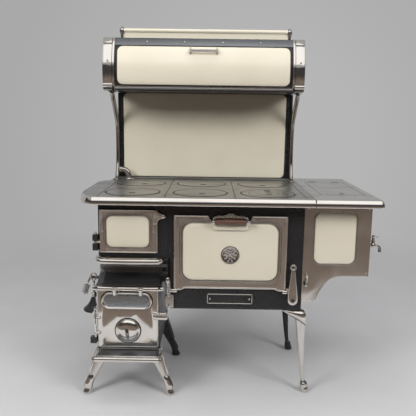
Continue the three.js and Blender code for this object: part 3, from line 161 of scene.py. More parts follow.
# A darker, browner copy of the nickel: painted shade and dark reflection, for the beads round the panels, the
# brackets, the coil and small fittings.
SHADE_PAINTED_NICKEL = surface("nickel_with_painted_shade", [(0.34, 0.31, 0.28), (0.48, 0.445, 0.41), (0.40, 0.37, 0.335)], (0.13, 0.25),
    1.0, (12, 4), (26, 5), (30, 0.06, 0.001))
SEAM_IRON = surface("seam_iron", [(0.035, 0.034, 0.033), (0.07, 0.068, 0.065)], (0.5, 0.7), 0.4)
DARK_GAP = surface("dark_gap", [(0.006, 0.006, 0.006), (0.012, 0.011, 0.010)], (0.6, 0.8), 0.0)
GREY_IRON = surface("grey_iron", [(0.055, 0.052, 0.05), (0.10, 0.085, 0.075)], (0.6, 0.8), 0.35, (14, 5), (30, 5),
    (220, 0.4, 0.0008))
DARK_STEEL = surface("dark_steel", [(0.10, 0.10, 0.105), (0.16, 0.16, 0.165)], (0.3, 0.45), 0.9, (8, 5), (22, 5),
    (120, 0.1, 0.0004), stretch=(0.3, 1, 1))
WOOD = surface("turned_wood", [(0.045, 0.021, 0.015), (0.125, 0.062, 0.043), (0.075, 0.036, 0.026)], (0.22, 0.36),
    0.0, (70, 6), (30, 4), (150, 0.1, 0.0003), stretch=(0.16, 1.6, 1.6), coat=0.5)


def brick_material():
    m, nt, b = node_material("firebrick")
    co = nt.nodes.new("ShaderNodeTexCoord")
    t = nt.nodes.new("ShaderNodeTexBrick")
    t.inputs["Scale"].default_value = 9.0
    t.inputs["Color1"].default_value = (0.50, 0.40, 0.28, 1)
    t.inputs["Color2"].default_value = (0.42, 0.31, 0.21, 1)
    t.inputs["Mortar"].default_value = (0.16, 0.14, 0.12, 1)
    nt.links.new(co.outputs["Object"], t.inputs["Vector"])
    soot = ramp(nt, noise(nt, 7, 5), [(0.3, (1, 1, 1)), (0.75, (0.25, 0.22, 0.2))])
    mix = nt.nodes.new("ShaderNodeMix")
    mix.data_type = "RGBA"
    mix.blend_type = "MULTIPLY"
    mix.inputs["Factor"].default_value = 1
    nt.links.new(t.outputs["Color"], mix.inputs[6])
    nt.links.new(soot, mix.inputs[7])
    nt.links.new(mix.outputs[2], b.inputs["Base Color"])
    b.inputs["Roughness"].default_value = 0.92
    bump(nt, b, noise(nt, 160, 4), 0.5, 0.001)
    return m


BRICK = brick_material()


# ---------- mesh helpers ----------
def place(name, mesh, mat, body, stands_for=(), angle=38):
    mesh.shade_smooth()
    mesh.set_sharp_from_angle(angle=math.radians(angle))
    mesh.materials.clear()
    mesh.materials.append(mat)
    ob = bpy.data.objects.new(name, mesh)
    bpy.context.collection.objects.link(ob)
    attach(ob, body)
    if stands_for:
        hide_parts(*([stands_for] if isinstance(stands_for, str) else stands_for))
    return ob


def build(name, verts, faces, mat, body, stands_for=(), angle=38, sub=0, bevel=0):
    bm = bmesh.new()
    vs = [bm.verts.new(P(*v)) for v in verts]
    for f in faces:
        if len(set(f)) > 2:
            bm.faces.new([vs[i] for i in f])
    bmesh.ops.remove_doubles(bm, verts=bm.verts, dist=2e-6)
    bmesh.ops.recalc_face_normals(bm, faces=bm.faces)
    mesh = bpy.data.meshes.new(name)
    bm.to_mesh(mesh)
    bm.free()
    ob = place(name, mesh, mat, body, stands_for, angle)
    if bevel:
        m = ob.modifiers.new("edges", "BEVEL")
        m.width = bevel / 1000
        m.segments = 3
        m.limit_method = "ANGLE"
        m.angle_limit = math.radians(32)
        m.harden_normals = True
    if sub:
        m = ob.modifiers.new("round", "SUBSURF")
        m.levels = sub
        m.render_levels = sub
    return ob


def skin(rings, closed=True, caps=True):
    """Faces over rings of equal length."""
    n = len(rings[0])
    verts = [tuple(p) for r in rings for p in r]
    faces = []
    last = n if closed else n - 1
    for k in range(len(rings) - 1):
        for i in range(last):
            j = (i + 1) % n
            faces.append((k * n + i, k * n + j, (k + 1) * n + j, (k + 1) * n + i))
    if caps:
        faces.append(tuple(range(n - 1, -1, -1)))
        faces.append(tuple((len(rings) - 1) * n + i for i in range(n)))
    return verts, faces


def lathe(name, profile, at, axis, mat, body, stands_for=(), seg=40, angle=38, hollow=False):
    """Profile of (radius, distance along axis); a hollow one is a closed ring round the axis."""
    a = Vector(axis).normalized()
    u = a.orthogonal().normalized()
    v = a.cross(u)
    at = Vector(at)
    rings = []
    for r, h in profile:
        r = max(r, 1e-4)
        rings.append([at + a * h + u * (r * math.cos(2 * PI * i / seg)) + v * (r * math.sin(2 * PI * i / seg))
            for i in range(seg)])
    if hollow:
        rings.append(rings[0])
    return build(name, *skin(rings, caps=not hollow), mat, body, stands_for, angle)


def smooth_path(pts, steps=6, closed=False):
    pts = [Vector(p) for p in pts]
    n = len(pts)
    out = []
    spans = n if closed else n - 1
    for i in range(spans):
        if closed:
            p0, p1, p2, p3 = pts[i - 1], pts[i], pts[(i + 1) % n], pts[(i + 2) % n]
        else:
            p0, p1, p2, p3 = pts[max(i - 1, 0)], pts[i], pts[i + 1], pts[min(i + 2, n - 1)]
        for s in range(steps):
            t = s / steps
            out.append(0.5 * ((2 * p1) + (p2 - p0) * t + (2 * p0 - 5 * p1 + 4 * p2 - p3) * t * t
                + (3 * p1 - p0 - 3 * p2 + p3) * t ** 3))
    if not closed:
        out.append(pts[-1])
    return out


def blend_values(values, count):
    out = []
    for k in range(count):
        t = k * (len(values) - 1) / (count - 1)
        i = min(int(t), len(values) - 2)
        f = t - i
        f = f * f * (3 - 2 * f)
        out.append(values[i] * (1 - f) + values[i + 1] * f)
    return out


def circle(n=20, sx=1.0, sy=1.0, power=1.0):
    pts = []
    for i in range(n):
        c, s = math.cos(2 * PI * i / n), math.sin(2 * PI * i / n)
        pts.append((sx * math.copysign(abs(c) ** power, c), sy * math.copysign(abs(s) ** power, s)))
    return pts


def tube(name, pts, radius, mat, body, stands_for=(), seg=18, steps=6, section=None, closed=False, up=None,
        ball=False, angle=50):
    """A bar along a smoothed path; radius is one value or one for each point."""
    path = smooth_path(pts, steps, closed) if steps else [Vector(p) for p in pts]
    n = len(path)
    radii = [radius] * n if not isinstance(radius, (list, tuple)) else blend_values(list(radius), n)
    section = section or circle(seg)
    rings = []
    u = None
    for k, p in enumerate(path):
        a = path[(k + 1) % n] - path[k - 1] if closed else path[min(k + 1, n - 1)] - path[max(k - 1, 0)]
        a.normalize()
        if up is not None:
            v = Vector(up)
            v = (v - a * v.dot(a)).normalized()
            uu = v.cross(a)
        else:
            if u is None:
                u = a.orthogonal().normalized()
            u = (u - a * u.dot(a)).normalized()
            uu = u
            v = a.cross(uu)
        rings.append([p + uu * (x * radii[k]) + v * (y * radii[k]) for x, y in section])
    if ball and not closed:
        def dome(ring, centre, way, r):
            out = []
            for t in (0.35, 0.65, 0.88, 0.98):
                s = math.sqrt(1 - t * t)
                out.append([centre + (q - centre) * s + way * (r * t) for q in ring])
            return out
        a0 = (path[0] - path[1]).normalized()
        a1 = (path[-1] - path[-2]).normalized()
        rings = dome(rings[0], path[0], a0, radii[0])[::-1] + rings + dome(rings[-1], path[-1], a1, radii[-1])
    if closed:
        rings.append(rings[0])
        verts, faces = skin(rings, caps=False)
    else:
        verts, faces = skin(rings)
    return build(name, verts, faces, mat, body, stands_for, angle)


AXES = {
    "front": lambda a, b, c: (a, -c, b),   # outline in X and Z, thickness towards -Y
    "top": lambda a, b, c: (a, b, c),      # outline in X and Y, thickness upwards
    "side": lambda a, b, c: (c, a, b),     # outline in Y and Z, thickness along X
}


def plate(name, outline, low, high, mat, body, stands_for=(), holes=(), bevel=1.5, view="front", angle=38, res=3):
    """Plate with rounded edges and holes. low and high are distances in the view's thickness direction;
    for the front view they are -Y values."""
    cu = bpy.data.curves.new(name, "CURVE")
    cu.dimensions = "2D"
    cu.fill_mode = "BOTH"
    for line in [outline, *holes]:
        sp = cu.splines.new("POLY")
        sp.points.add(len(line) - 1)
        for q, (a, b) in zip(sp.points, line):
            q.co = (a, b, 0, 1)
        sp.use_cyclic_u = True
    b = min(bevel, (high - low) / 2 - 0.01)
    cu.extrude = (high - low) / 2 - b
    cu.bevel_depth = b
    cu.bevel_resolution = res
    cu.offset = -b
    tmp = bpy.data.objects.new(name + "_tmp", cu)
    bpy.context.collection.objects.link(tmp)
    deps = bpy.context.evaluated_depsgraph_get()
    mesh = bpy.data.meshes.new_from_object(tmp.evaluated_get(deps))
    bpy.data.objects.remove(tmp)
    bpy.data.curves.remove(cu)
    turn = AXES[view]
    middle = (high + low) / 2
    bm = bmesh.new()
    bm.from_mesh(mesh)
    bmesh.ops.remove_doubles(bm, verts=bm.verts, dist=0.002)
    for v in bm.verts:
        v.co = P(*turn(v.co.x, v.co.y, v.co.z + middle))
    bmesh.ops.recalc_face_normals(bm, faces=bm.faces)
    bm.to_mesh(mesh)
    bm.free()
    mesh.name = name
    return place(name, mesh, mat, body, stands_for, angle)


def arc(cx, cy, rx, ry, a0, a1, n):
    return [(cx + rx * math.cos(math.radians(a0 + (a1 - a0) * i / n)), cy
        + ry * math.sin(math.radians(a0 + (a1 - a0) * i / n))) for i in range(n + 1)]


def rrect(x0, x1, y0, y1, r, n=8):
    r = min(r, (x1 - x0) / 2 - 0.01, (y1 - y0) / 2 - 0.01)
    return (arc(x1 - r, y0 + r, r, r, -90, 0, n) + arc(x1 - r, y1 - r, r, r, 0, 90, n)
        + arc(x0 + r, y1 - r, r, r, 90, 180, n) + arc(x0 + r, y0 + r, r, r, 180, 270, n))


def grown(box, by, r, n=8):
    """Rounded rectangle round a box, wider by the same amount on every side."""
    return rrect(box[0] - by, box[1] + by, box[2] - by, box[3] + by, r, n)


def oval(cx, cy, rx, ry, n):
    return [(cx + rx * math.cos(2 * PI * i / n), cy + ry * math.sin(2 * PI * i / n)) for i in range(n)]


def round_line(cx, cy, r, n=64):
    return arc(cx, cy, r, r, 0, 360 - 360 / n, n - 1)


def pillow(name, box, r, profile, mat, body, stands_for=(), view="front", back=None, angle=60):
    """Enamelled plate: rings of a rounded rectangle, profile of (inset, level), closed flat behind."""
    x0, x1, z0, z1 = box
    turn = AXES[view]
    rings = []
    if back is not None:
        rings.append([turn(a, b, back) for a, b in rrect(x0, x1, z0, z1, r)])
    for inset, level in profile:
        line = rrect(x0 + inset, x1 - inset, z0 + inset, z1 - inset, max(r - inset, 2))
        rings.append([turn(a, b, level) for a, b in line])
    return build(name, *skin(rings), mat, body, stands_for, angle)


def rim(name, line, level, width, height, mat, body, view="front"):
    """Half-round bead standing on a face along a closed line."""
    turn = AXES[view]
    n = len(line)
    rings = []
    for k in range(n):
        a = Vector(line[k - 1])
        b = Vector(line[(k + 1) % n])
        t = (b - a).normalized()
        out = Vector((t.y, -t.x))
        p = Vector(line[k])
        ring = []
        for i in range(9):
            s = PI * i / 8
            q = p + out * (width / 2 * math.cos(s))
            ring.append(turn(q.x, q.y, level + height * math.sin(s)))
        rings.append(ring)
    rings.append(rings[0])
    return build(name, *skin(rings, closed=True, caps=False), mat, body, (), 70)


def screw(name, at, axis, r, mat, body):
    lathe(name, [(0, 0), (r, 0), (r, 0.35 * r), (0.85 * r, 0.62 * r), (0.5 * r, 0.8 * r), (0, 0.86 * r)], at, axis,
        mat, body, seg=20)


# ---------- CAD nodes that keep their shape ----------
def paint(material, *names):
    for name in names:
        ob = frame["nodes"][name]
        ob.data.materials.clear()
        ob.data.materials.append(material)


paint(BLACK, "front_panel", "body_shell", "reservoir_tank", "backsplash_frame")
paint(BLACK_CAST, "ash_pit_box")
paint(GREY_IRON, "grate", "flue_collar")
paint(DARK_STEEL, "oven_liner", "oven_rack", "ash_pan", "spin_draft_stud")
paint(BRICK, "firebrick_lining")

# ---------- cooktop ----------
CX, CY, RX, RY = -557, -170, 68, 180   # oval of the front left corner
TOP_Z = 880
FLUE_X, FLUE_Y = -129.5, 325
BED_HOLE, LID_HOLE = 109.8, 119.4      # radii under and round a lid


def top_edge(out, n=24):
    """Left edge line from the front joint round to the rear."""
    pts = [(342.0, -350 - out)]
    pts += [(x, y) for x, y in arc(CX, CY, RX + out, RY + out, -90, -180, n)]
    pts += [(x, y) for x, y in arc(-563, 120, 62 + out, 62 + out, 180, 108, 10)]
    return pts


LIDS = {}
for row, y in (("front", -207), ("rear", 100)):
    for col, x in (("left", -418), ("middle", -128), ("right", 162)):
        LIDS[f"lid_{row}_{col}"] = (x, y)
SEAMS = [-545, -271, 17, 310]
REAR_SEAM = 234


def clip(line, x0, x1, y0, y1):
    """Clips a closed line to a rectangle."""
    def cut(pts, inside, cross):
        out = []
        for k, p in enumerate(pts):
            q = pts[k - 1]
            if inside(p) != inside(q):
                out.append(cross(q, p))
            if inside(p):
                out.append(p)
        return out

    def at_x(c):
        return lambda q, p: (c, q[1] + (p[1] - q[1]) * (c - q[0]) / (p[0] - q[0]))

    def at_y(c):
        return lambda q, p: (q[0] + (p[0] - q[0]) * (c - q[1]) / (p[1] - q[1]), c)
    line = cut(line, lambda p: p[0] >= x0, at_x(x0))
    line = cut(line, lambda p: p[0] <= x1, at_x(x1))
    line = cut(line, lambda p: p[1] >= y0, at_y(y0))
    return cut(line, lambda p: p[1] <= y1, at_y(y1))


whole = top_edge(0)
whole += [(whole[-1][0], 370), (342.85, 370)]
flue_line = oval(FLUE_X, FLUE_Y, 82, 29, 48)
plate("cooktop_bed", whole, 864, 867, DARK_GAP, "stove", "cooktop_main", bevel=0.3, view="top",
    holes=[round_line(x, y, BED_HOLE, 48) for x, y in LIDS.values()] + [flue_line])
edges = [-660] + SEAMS + [341.6]
for k in range(5):
    a, b = edges[k] + (1.5 if k else 0), edges[k + 1] - (1.5 if k < 4 else 0)
    holes = [round_line(x, y, LID_HOLE) for x, y in LIDS.values() if a < x < b]
    plate(f"cooktop_section_{k + 1}", clip(whole, a, b, -360, REAR_SEAM - 1.5), 866.5, TOP_Z, TOP_IRON, "stove",
        holes=holes, bevel=1.1, view="top")
plate("cooktop_rear_section", clip(whole, -660, 341.6, REAR_SEAM + 1.5, 400), 866.5, TOP_Z, TOP_IRON, "stove",
    holes=[flue_line], bevel=1.1, view="top")
for k, x in enumerate(SEAMS):
    plate(f"cooktop_seam_{k + 1}", [(x - 1.7, -345), (x + 1.7, -345), (x + 1.7, 232), (x - 1.7, 232)], 867, 878.8,
        SEAM_IRON, "stove", bevel=0.2, view="top")
plate("cooktop_seam_rear", [(-576, 232.3), (341, 232.3), (341, 235.7), (-576, 235.7)], 867, 878.8, SEAM_IRON, "stove",
    bevel=0.2, view="top")
SLOTS = {"lid_rear_left": [(19, -37)], "lid_front_left": [(0, -25)], "lid_rear_middle": [(8, -36)],
    "lid_front_middle": [(8, -25)], "lid_rear_right": [(1, -41)], "lid_front_right": [(5, 99), (5, 62), (5, 20),
    (5, -25)]}
for name, (x, y) in LIDS.items():
    rings = [0, 46, 81, 114] if name == "lid_front_right" else [0, 114]
    lathe(name + "_bed", [(0, 872.5), (116, 872.5), (117.4, 874.2), (117.4, 878.6), (0, 878.6)], (x, y, 0), TO_TOP,
        SEAM_IRON, name, name, seg=72)
    lathe(name + "_rim", [(111, 879.4), (111, 880.4), (111.6, 880.7), (113.6, 880.7), (114.2, 880.3), (114.2, 879.4)],
        (x, y, 0), TO_TOP, DARK_STEEL, name, seg=96, hollow=True)
    for k in range(len(rings) - 1):
        holes = []
        if rings[k]:
            holes.append(round_line(x, y, rings[k] + 2.4))
        for dx, dy in SLOTS[name]:
            d = math.hypot(dx, dy)
            if rings[k] < d < rings[k + 1]:
                half = 11 if len(rings) > 2 else 14
                holes.append(rrect(x + dx - 14, x + dx + 14, y + dy - half, y + dy + half, 7.4, 5))
        plate(f"{name}_ring_{k + 1}", round_line(x, y, rings[k + 1], 72), 878.2, 880.2, TOP_IRON, name, holes=holes,
            bevel=0.8, view="top")


ROLL = [(0.05, 33.9), (0.55, 34), (0.80, 33.5), (0.93, 32.2), (0.985, 30), (1.0, 27), (0.985, 23), (0.94, 19.2),
    (0.87, 15.6), (0.78, 12.2), (0.68, 9.0), (0.57, 6.0), (0.46, 3.4), (0.33, 1.3), (0.16, 0.4), (0.02, 0.3)]


def bullnose(name, inner, outer, top, drop, mat, stands_for=()):
    rings = []
    for (xi, yi), (xo, yo) in zip(inner, outer):
        ring = [(xi, yi, top - 0.5), (xi, yi, top - drop + 0.5)]
        ring += [(xi + (xo - xi) * f, yi + (yo - yi) * f, top - d * drop / 34) for f, d in ROLL]
        rings.append(ring)
    return build(name, *skin(rings), mat, "stove", stands_for, 50)


bullnose("cooktop_edge", top_edge(0.4)[:18], top_edge(16)[:18], TOP_Z, 34, NICKEL, "cooktop_trim")
# The side run of the same trim is dark steel instead of nickel: painted dark reflection along the side.
bullnose("cooktop_side_edge_painted_dark", top_edge(0.4)[17:], top_edge(15.6)[17:], 879.8, 34, DARK_STEEL)

# ---------- reservoir wing top ----------
WELL = (388.15, 579, -227, 221)
plate("wing_top", [(343.15, -350), (609, -350), (609, 370), (343.15, 370)], 865, TOP_Z, WING_IRON, "stove",
    "reservoir_top", holes=[rrect(*WELL, 3, 3)], bevel=1.1, view="top")
plate("wing_ledge", rrect(376, 591, -239, 233, 4, 3), 865, 873.4, DARK_STEEL, "stove",
    holes=[rrect(398.4, 569, -217, 211, 8, 4)], bevel=0.5, view="top")


def wing_edge(out):
    return [(344.2, -350 - out)] + arc(605, -346, 4 + out, 4 + out, -90, 0, 8) + [(609 + out, 370)]


bullnose("wing_edge", wing_edge(0.1), wing_edge(16), TOP_Z, 34, NICKEL)
plate("edge_joint", [(341, -363), (345, -363), (345, -349), (341, -349)], 849, 877, SEAM_IRON, "stove", bevel=0.5,
    view="top")
pillow("reservoir_lid_plate", (391.6, 575.5, -223.4, 217.4), 4, [(0, 879), (1.1, 880), (14, 880), (16, 878.9),
    (18, 878.9), (20, 880)], WING_IRON, "reservoir_lid", "reservoir_lid", view="top", back=874.2)
lathe("reservoir_lid_knob", [(0, 879), (12, 879), (12, 880.6), (9, 882.2), (9.5, 884), (8, 885.2), (3, 885.8),
    (0, 885.9)], (483.6, -185, 0), TO_TOP, WING_IRON, "reservoir_lid")
for x in (425, 542):
    tube(f"reservoir_lid_hinge_{x}", [(x - 16, 221, 880.6), (x + 16, 221, 880.6)], 2.4, TOP_IRON, "stove", steps=0,
        ball=True, seg=14)

# ---------- oven apron with its plate, and front corners ----------
plate("apron_plate", rrect(-94, 104, 405, 452, 7, 4), 272.1, 274.2, BLACK_CAST, "stove", bevel=0.8)
rim("apron_plate_border", rrect(-91, 101, 408, 449, 5, 4), 273.6, 4.5, 2.6, SATIN_NICKEL, "stove")
for x in (-80, 90):
    screw(f"apron_plate_screw_{x}", (x, -273.8, 428.5), TO_FRONT, 4.2, SATIN_NICKEL, "stove")
tube("apron_lip", [(-250, -270, 384.5), (311, -270, 384.5)], 3.6, BLACK, "stove", steps=0, ball=True)
tube("front_corner_bead", [(311.2, -270.5, 386), (311.2, -270.5, 861)], 3.0, BLACK, "stove", steps=0, seg=12)
plate("front_header", [(-557, 835), (312.6, 835), (312.6, 863), (-557, 863)], 271.9, 276, BLACK, "stove", bevel=1.8)

# ---------- firebox feed door ----------
B = "firebox_door"
DOOR = rrect(-551, -304.5, 627.3, 815.8, 6, 4)
INS = (-520, -340, 652, 788)
plate("feed_door_frame", DOOR, 272.5, 284, NICKEL, B, "firebox_door_frame", holes=[grown(INS, 1, 27)], bevel=3.2)
plate("feed_door_backing", rrect(-530, -330, 642, 798, 20), 273, 276, DARK_STEEL, B, bevel=0.4)
rim("feed_door_outer_bead", rrect(-547.5, -308, 631, 812.5, 5, 4), 283, 4.2, 2.9, NICKEL, B)
# The beads round the enamel insert use the darkened nickel: painted shade of the sunken ring.
rim("feed_door_inner_bead", grown(INS, 4, 31), 283, 5.6, 2.7, SHADE_PAINTED_NICKEL, B)
rim("feed_door_middle_bead", rrect(INS[0] - 11, INS[1] + 11, INS[2] - 10, INS[3] + 10, 36), 283.4, 4, 1.5,
    SHADE_PAINTED_NICKEL, B)
pillow("feed_door_enamel", INS, 27, [(0, 284), (0.6, 286.4), (2.2, 288.3), (5, 289.8), (10, 290.7), (22, 291.0),
    (45, 291.2)], CREAM, B, "firebox_door_insert", back=277)
for x in (-537, -322):
    screw(f"feed_door_screw_{x}", (x, -284, 722), TO_FRONT, 3.6, SATIN_NICKEL, B)
ear = smooth_path([(-322, 809, 0), (-309, 811, 0), (-301, 806, 0), (-291, 800, 0), (-278, 797, 0), (-271, 789, 0),
    (-274, 780, 0), (-285, 777, 0), (-296, 775, 0), (-304, 767, 0), (-309, 756, 0), (-322, 756, 0)], 5, True)
plate("feed_door_ear", [(p.x, p.y) for p in ear], 275.8, 286.4, NICKEL, B, bevel=3.4)
lathe("feed_door_ear_boss", [(0, 0), (5.4, 0), (5, 1.6), (3, 2.6), (0, 3)], (-282, -285.6, 788), TO_FRONT, NICKEL, B)
tube("feed_door_strap", [(-568, -281, 674), (-556, -281, 674), (-546, -281, 674)], 6.2, NICKEL, B, steps=0)
lathe("feed_door_knuckle", [(0, -6.3), (7, -6.3), (8.2, -5), (8.2, 5), (7, 6.3), (0, 6.3)], (-568, -280.9, 674),
    TO_TOP, NICKEL, B)
for z0, z1 in ((638, 667), (681, 705)):
    lathe(f"feed_hinge_cap_{z0}", [(0, z0), (8, z0), (9.4, z0 + 2), (9.4, z1 - 2), (8, z1), (0, z1)], (-568, -281, 0),
        TO_TOP, BLACK_CAST, "stove")
lathe("feed_hinge_ball", [(0, 705), (5, 705), (7, 709), (6, 714), (3, 717), (0, 718)], (-568, -281, 0), TO_TOP,
    NICKEL, "stove")

tube("front_joint_bead", [(-262, -272.4, 530), (-262, -272.4, 832)], 2.2, BLACK_CAST, "stove", steps=0, seg=12)
for z in (728, 669, 541):
    screw(f"front_joint_bolt_{z}", (-284, -272, z), TO_FRONT, 5.2, BLACK_CAST, "stove")

# ---------- feed shelf ----------
shelf = [(-546, -290, 607), (-546, -318, 607), (-543, -333, 607), (-530, -340, 607), (-480, -343.5, 607),
    (-419, -345, 607), (-360, -343.5, 607), (-308, -340, 607), (-294, -333, 607), (-290, -318, 607),
    (-290, -290, 607)]
tube("feed_shelf_bar", shelf, 13.2, NICKEL, "stove", "feed_shelf", seg=28, steps=5, ball=True)
plate("feed_shelf_plate", [(-545, -273), (-545, -322), (-538, -333), (-480, -338), (-419, -339), (-360, -338),
    (-299, -333), (-291, -322), (-291, -273)], 609, 615, SATIN_NICKEL, "stove", bevel=1.5, view="top")
tube("feed_shelf_rib", [(-537, -318, 615.5), (-530, -326, 615.5), (-419, -331, 615.5), (-306, -326, 615.5),
    (-299, -318, 615.5)], 2.2, SATIN_NICKEL, "stove", seg=10)
for x in (-556, -281):
    tube(f"feed_shelf_end_{x}", [(x, -276, 606), (x, -300, 606), (x, -316, 606)], [9, 8, 5], BLACK_CAST, "stove",
        ball=True)

# ---------- lower firebox casting ----------
plan = [(-558, 20), (-566, -60), (-573, -120)] + arc(-500, -150, 75, 80, 180, 270, 16) + [(-420, -230), (-262, -229)]
levels = [(0.6, 604), (4.5, 602), (5.2, 596), (1.0, 591), (0.4, 576), (2.6, 572), (2.6, 566), (0.4, 562), (0.2, 540),
    (1.6, 536), (1.6, 531), (0.2, 527), (0.8, 514), (3, 504), (6, 496), (7, 488), (6.5, 487.2)]
rings = []
for x, y in plan:
    if x > -500:
        nx, ny = 0, -1
    else:
        nx, ny = (x + 500) / 75 ** 2, min(y + 150, 0) / 80 ** 2
        d = math.hypot(nx, ny)
        nx, ny = nx / d, ny / d
    rings.append([(x + nx * o, y + ny * o, z) for o, z in levels] + [(x - nx * 3, y - ny * 3, 487.2),
        (x - nx * 3, y - ny * 3, 604)])
build("lower_firebox_casting", *skin(rings), BLACK_GLOSS, "stove", angle=50)
flare = [(-226, 528), (-236, 520), (-246, 512), (-258, 505), (-272, 499.5), (-285, 495.5), (-294, 492), (-298, 488.5),
    (-297, 487.2), (-226, 487.2)]
rings = []
for x, f in ((-567, 0.0), (-566, 0.45), (-562, 0.75), (-552, 0.93), (-536, 1), (-324, 1), (-308, 0.93), (-298, 0.75),
        (-294, 0.45), (-293, 0.0)):
    rings.append([(x, -226 + (y + 226) * (0.75 + 0.25 * f), 487.2 + (z - 487.2) * (0.25 + 0.75 * f)) for y,
        z in flare])
build("ash_hood_flare", *skin(rings), BLACK_GLOSS, "stove", angle=60)

# ---------- ash pit ----------
plate("ash_ledge", [(-567, -224), (-567, -294), (-559, -303), (-299, -303), (-291, -294), (-291, -224)], 484.5, 487.0,
    NICKEL, "stove", bevel=1.0, view="top")
tube("ash_nose", [(-560, -290, 476.5), (-553, -302.5, 476.5), (-305, -302.5, 476.5), (-298, -290, 476.5)], 10.4,
    NICKEL, "stove", seg=28, steps=6)
for x in (-562.4, -297.6):
    s = -1 if x < -430 else 1
    for z, w in ((470, 3.2), (212, 3.2)):
        tube(f"ash_box_band_{s}_{z}", [(x, -292, z), (x, 165, z)], w, BLACK_CAST, "stove", steps=0, seg=12)
    for y in (-200, 60):
        screw(f"ash_box_bolt_{s}_{y}", (x, y, 450), (s, 0, 0), 6, BLACK_CAST, "stove")
A = "ash_door"
DRAFT_Z, DRAFT_X = 425, -434.5
DRAFT_SLOT = rrect(DRAFT_X - 93, DRAFT_X + 93, DRAFT_Z - 22, DRAFT_Z + 22, 21.9)
SPIN_X, SPIN_Z = -430.5, 291           # centre of the round draft
PIN_X, PIN_Y = -568, -311.3            # hinge pin of the ash door
FLAP_Y, FLAP_Z = -321.3, 478           # hinge line of the draft flap
FLAP_LUGS = (-484.5, -374.5)
plate("ash_door_plate", rrect(-561, -300, 214, 472, 7, 4), 295.4, 306.4, NICKEL, A, "ash_door",
    holes=[DRAFT_SLOT, round_line(SPIN_X, SPIN_Z, 32, 40)], bevel=3.4)
rim("ash_door_bead", rrect(-558, -303, 217, 469, 5, 4), 305.6, 3.6, 1.9, NICKEL, A)
lathe("ash_door_draft_seat", [(33, 0), (56, 0), (57.5, 0.8), (57.5, 1.4), (56, 2.0), (54, 1.2), (33, 1.2)],
    (SPIN_X, -305.6, SPIN_Z), TO_FRONT, DARK_STEEL, A, seg=64)
tube("ash_hinge_pin", [(PIN_X, PIN_Y, 262.5), (PIN_X, PIN_Y, 300), (PIN_X, PIN_Y, 318), (PIN_X, PIN_Y, 345),
    (PIN_X, PIN_Y, 372), (PIN_X, PIN_Y, 384)], [5.0, 6.5, 9.0, 8.2, 5.0, 3.5], NICKEL, A, seg=20)
lathe("ash_hinge_ball", [(0, 382), (3.6, 383), (6.6, 387), (7.2, 391), (5.4, 396), (2, 398), (0, 398.3)],
    (PIN_X, PIN_Y, 0), TO_TOP, NICKEL, A)
for z in (280, 347):
    tube(f"ash_hinge_arm_{z}", [(PIN_X, PIN_Y, z), (-560, -311, z), (-551, -308, z)], [8, 7, 6], NICKEL, A, ball=True)
tube("ash_latch_tongue", [(-312, -309, 353), (-292, -310.5, 353), (-270, -310.5, 352)], [11.5, 11.5, 10.5], NICKEL, A,
    section=circle(22, 1, 0.42, 0.75), up=TO_FRONT, ball=True)
lathe("ash_latch_knob", [(0, 0), (4, 0), (6.8, 3), (7.4, 9), (6.2, 16), (7.6, 23), (6.6, 29), (3, 32), (0, 32.6)],
    (-296, -314, 371), TO_RIGHT, NICKEL, A)
tube("ash_latch_neck", [(-318, -306, 371), (-306, -311, 371), (-292, -314, 371)], [8, 6.5, 5], NICKEL, A)
for x in FLAP_LUGS:
    s = 1 if x < -430 else -1
    tube(f"ash_door_flap_lug_{x}", [(x + s * 18.5, -306, 468), (x + s * 18.5, -314, 472),
        (x + s * 18.5, FLAP_Y, FLAP_Z)], [6, 5.5, 6], NICKEL, A, ball=True)
    lathe(f"ash_door_flap_pin_{x}", [(0, -14.5), (3.6, -14.5), (3.6, 14.5), (0, 14.5)], (x + s * 7, FLAP_Y, FLAP_Z),
        TO_RIGHT, NICKEL, A)
F = "draft_flap"
FL = (DRAFT_X - 109, DRAFT_X + 109, DRAFT_Z - 38, DRAFT_Z + 38)
# Near-black ring a little larger than the flap, laid on the door's face: painted shadow of the gap round the flap.
plate("draft_flap_shadow_ring", grown(FL, 3.4, 41), 305.8, 307.2, DARK_GAP, A, bevel=0.4, holes=[DRAFT_SLOT])
pillow("draft_flap_plate", FL, 37.9, [(0, 309), (0.4, 313.5), (1.8, 316.6), (4.6, 318), (7.4, 316.8), (9, 313.4),
    (10.4, 312.6), (16, 312.7)], NICKEL, F, "draft_flap", back=307.8)
pillow("draft_flap_field", (FL[0] + 10.6, FL[1] - 10.6, FL[2] + 10.6, FL[3] - 10.6), 27.4,
    [(0, 312.9), (0.8, 313.7), (6, 313.9)], STEEL_STRIP, F, back=311.5)
for x in FLAP_LUGS:
    tube(f"draft_flap_arm_{x}", [(x, -314, 455), (x, -319, 464), (x, FLAP_Y, FLAP_Z)], [8.5, 7, 8], NICKEL, F,
        ball=True)
    lathe(f"draft_flap_knuckle_{x}", [(0, -11.5), (6.6, -11.5), (8.4, -9), (8.4, -5), (6, -3), (6, 3), (8.4, 5),
        (8.4, 9), (6.6, 11.5), (0, 11.5)], (x, FLAP_Y, FLAP_Z), TO_RIGHT, NICKEL, F)
S = "spin_draft_disc"
lathe("spin_draft_dome", [(0, 0.2), (51, 0.2), (53, 1.0), (53, 2.4), (51.4, 3.6), (49, 3.0), (47.5, 4.0), (44, 7.6),
    (36, 11.6), (26, 14.2), (14, 15.6), (0, 16)], (SPIN_X, -307.6, SPIN_Z), TO_FRONT, NICKEL, S, S, seg=72, angle=60)
grip_lines = []
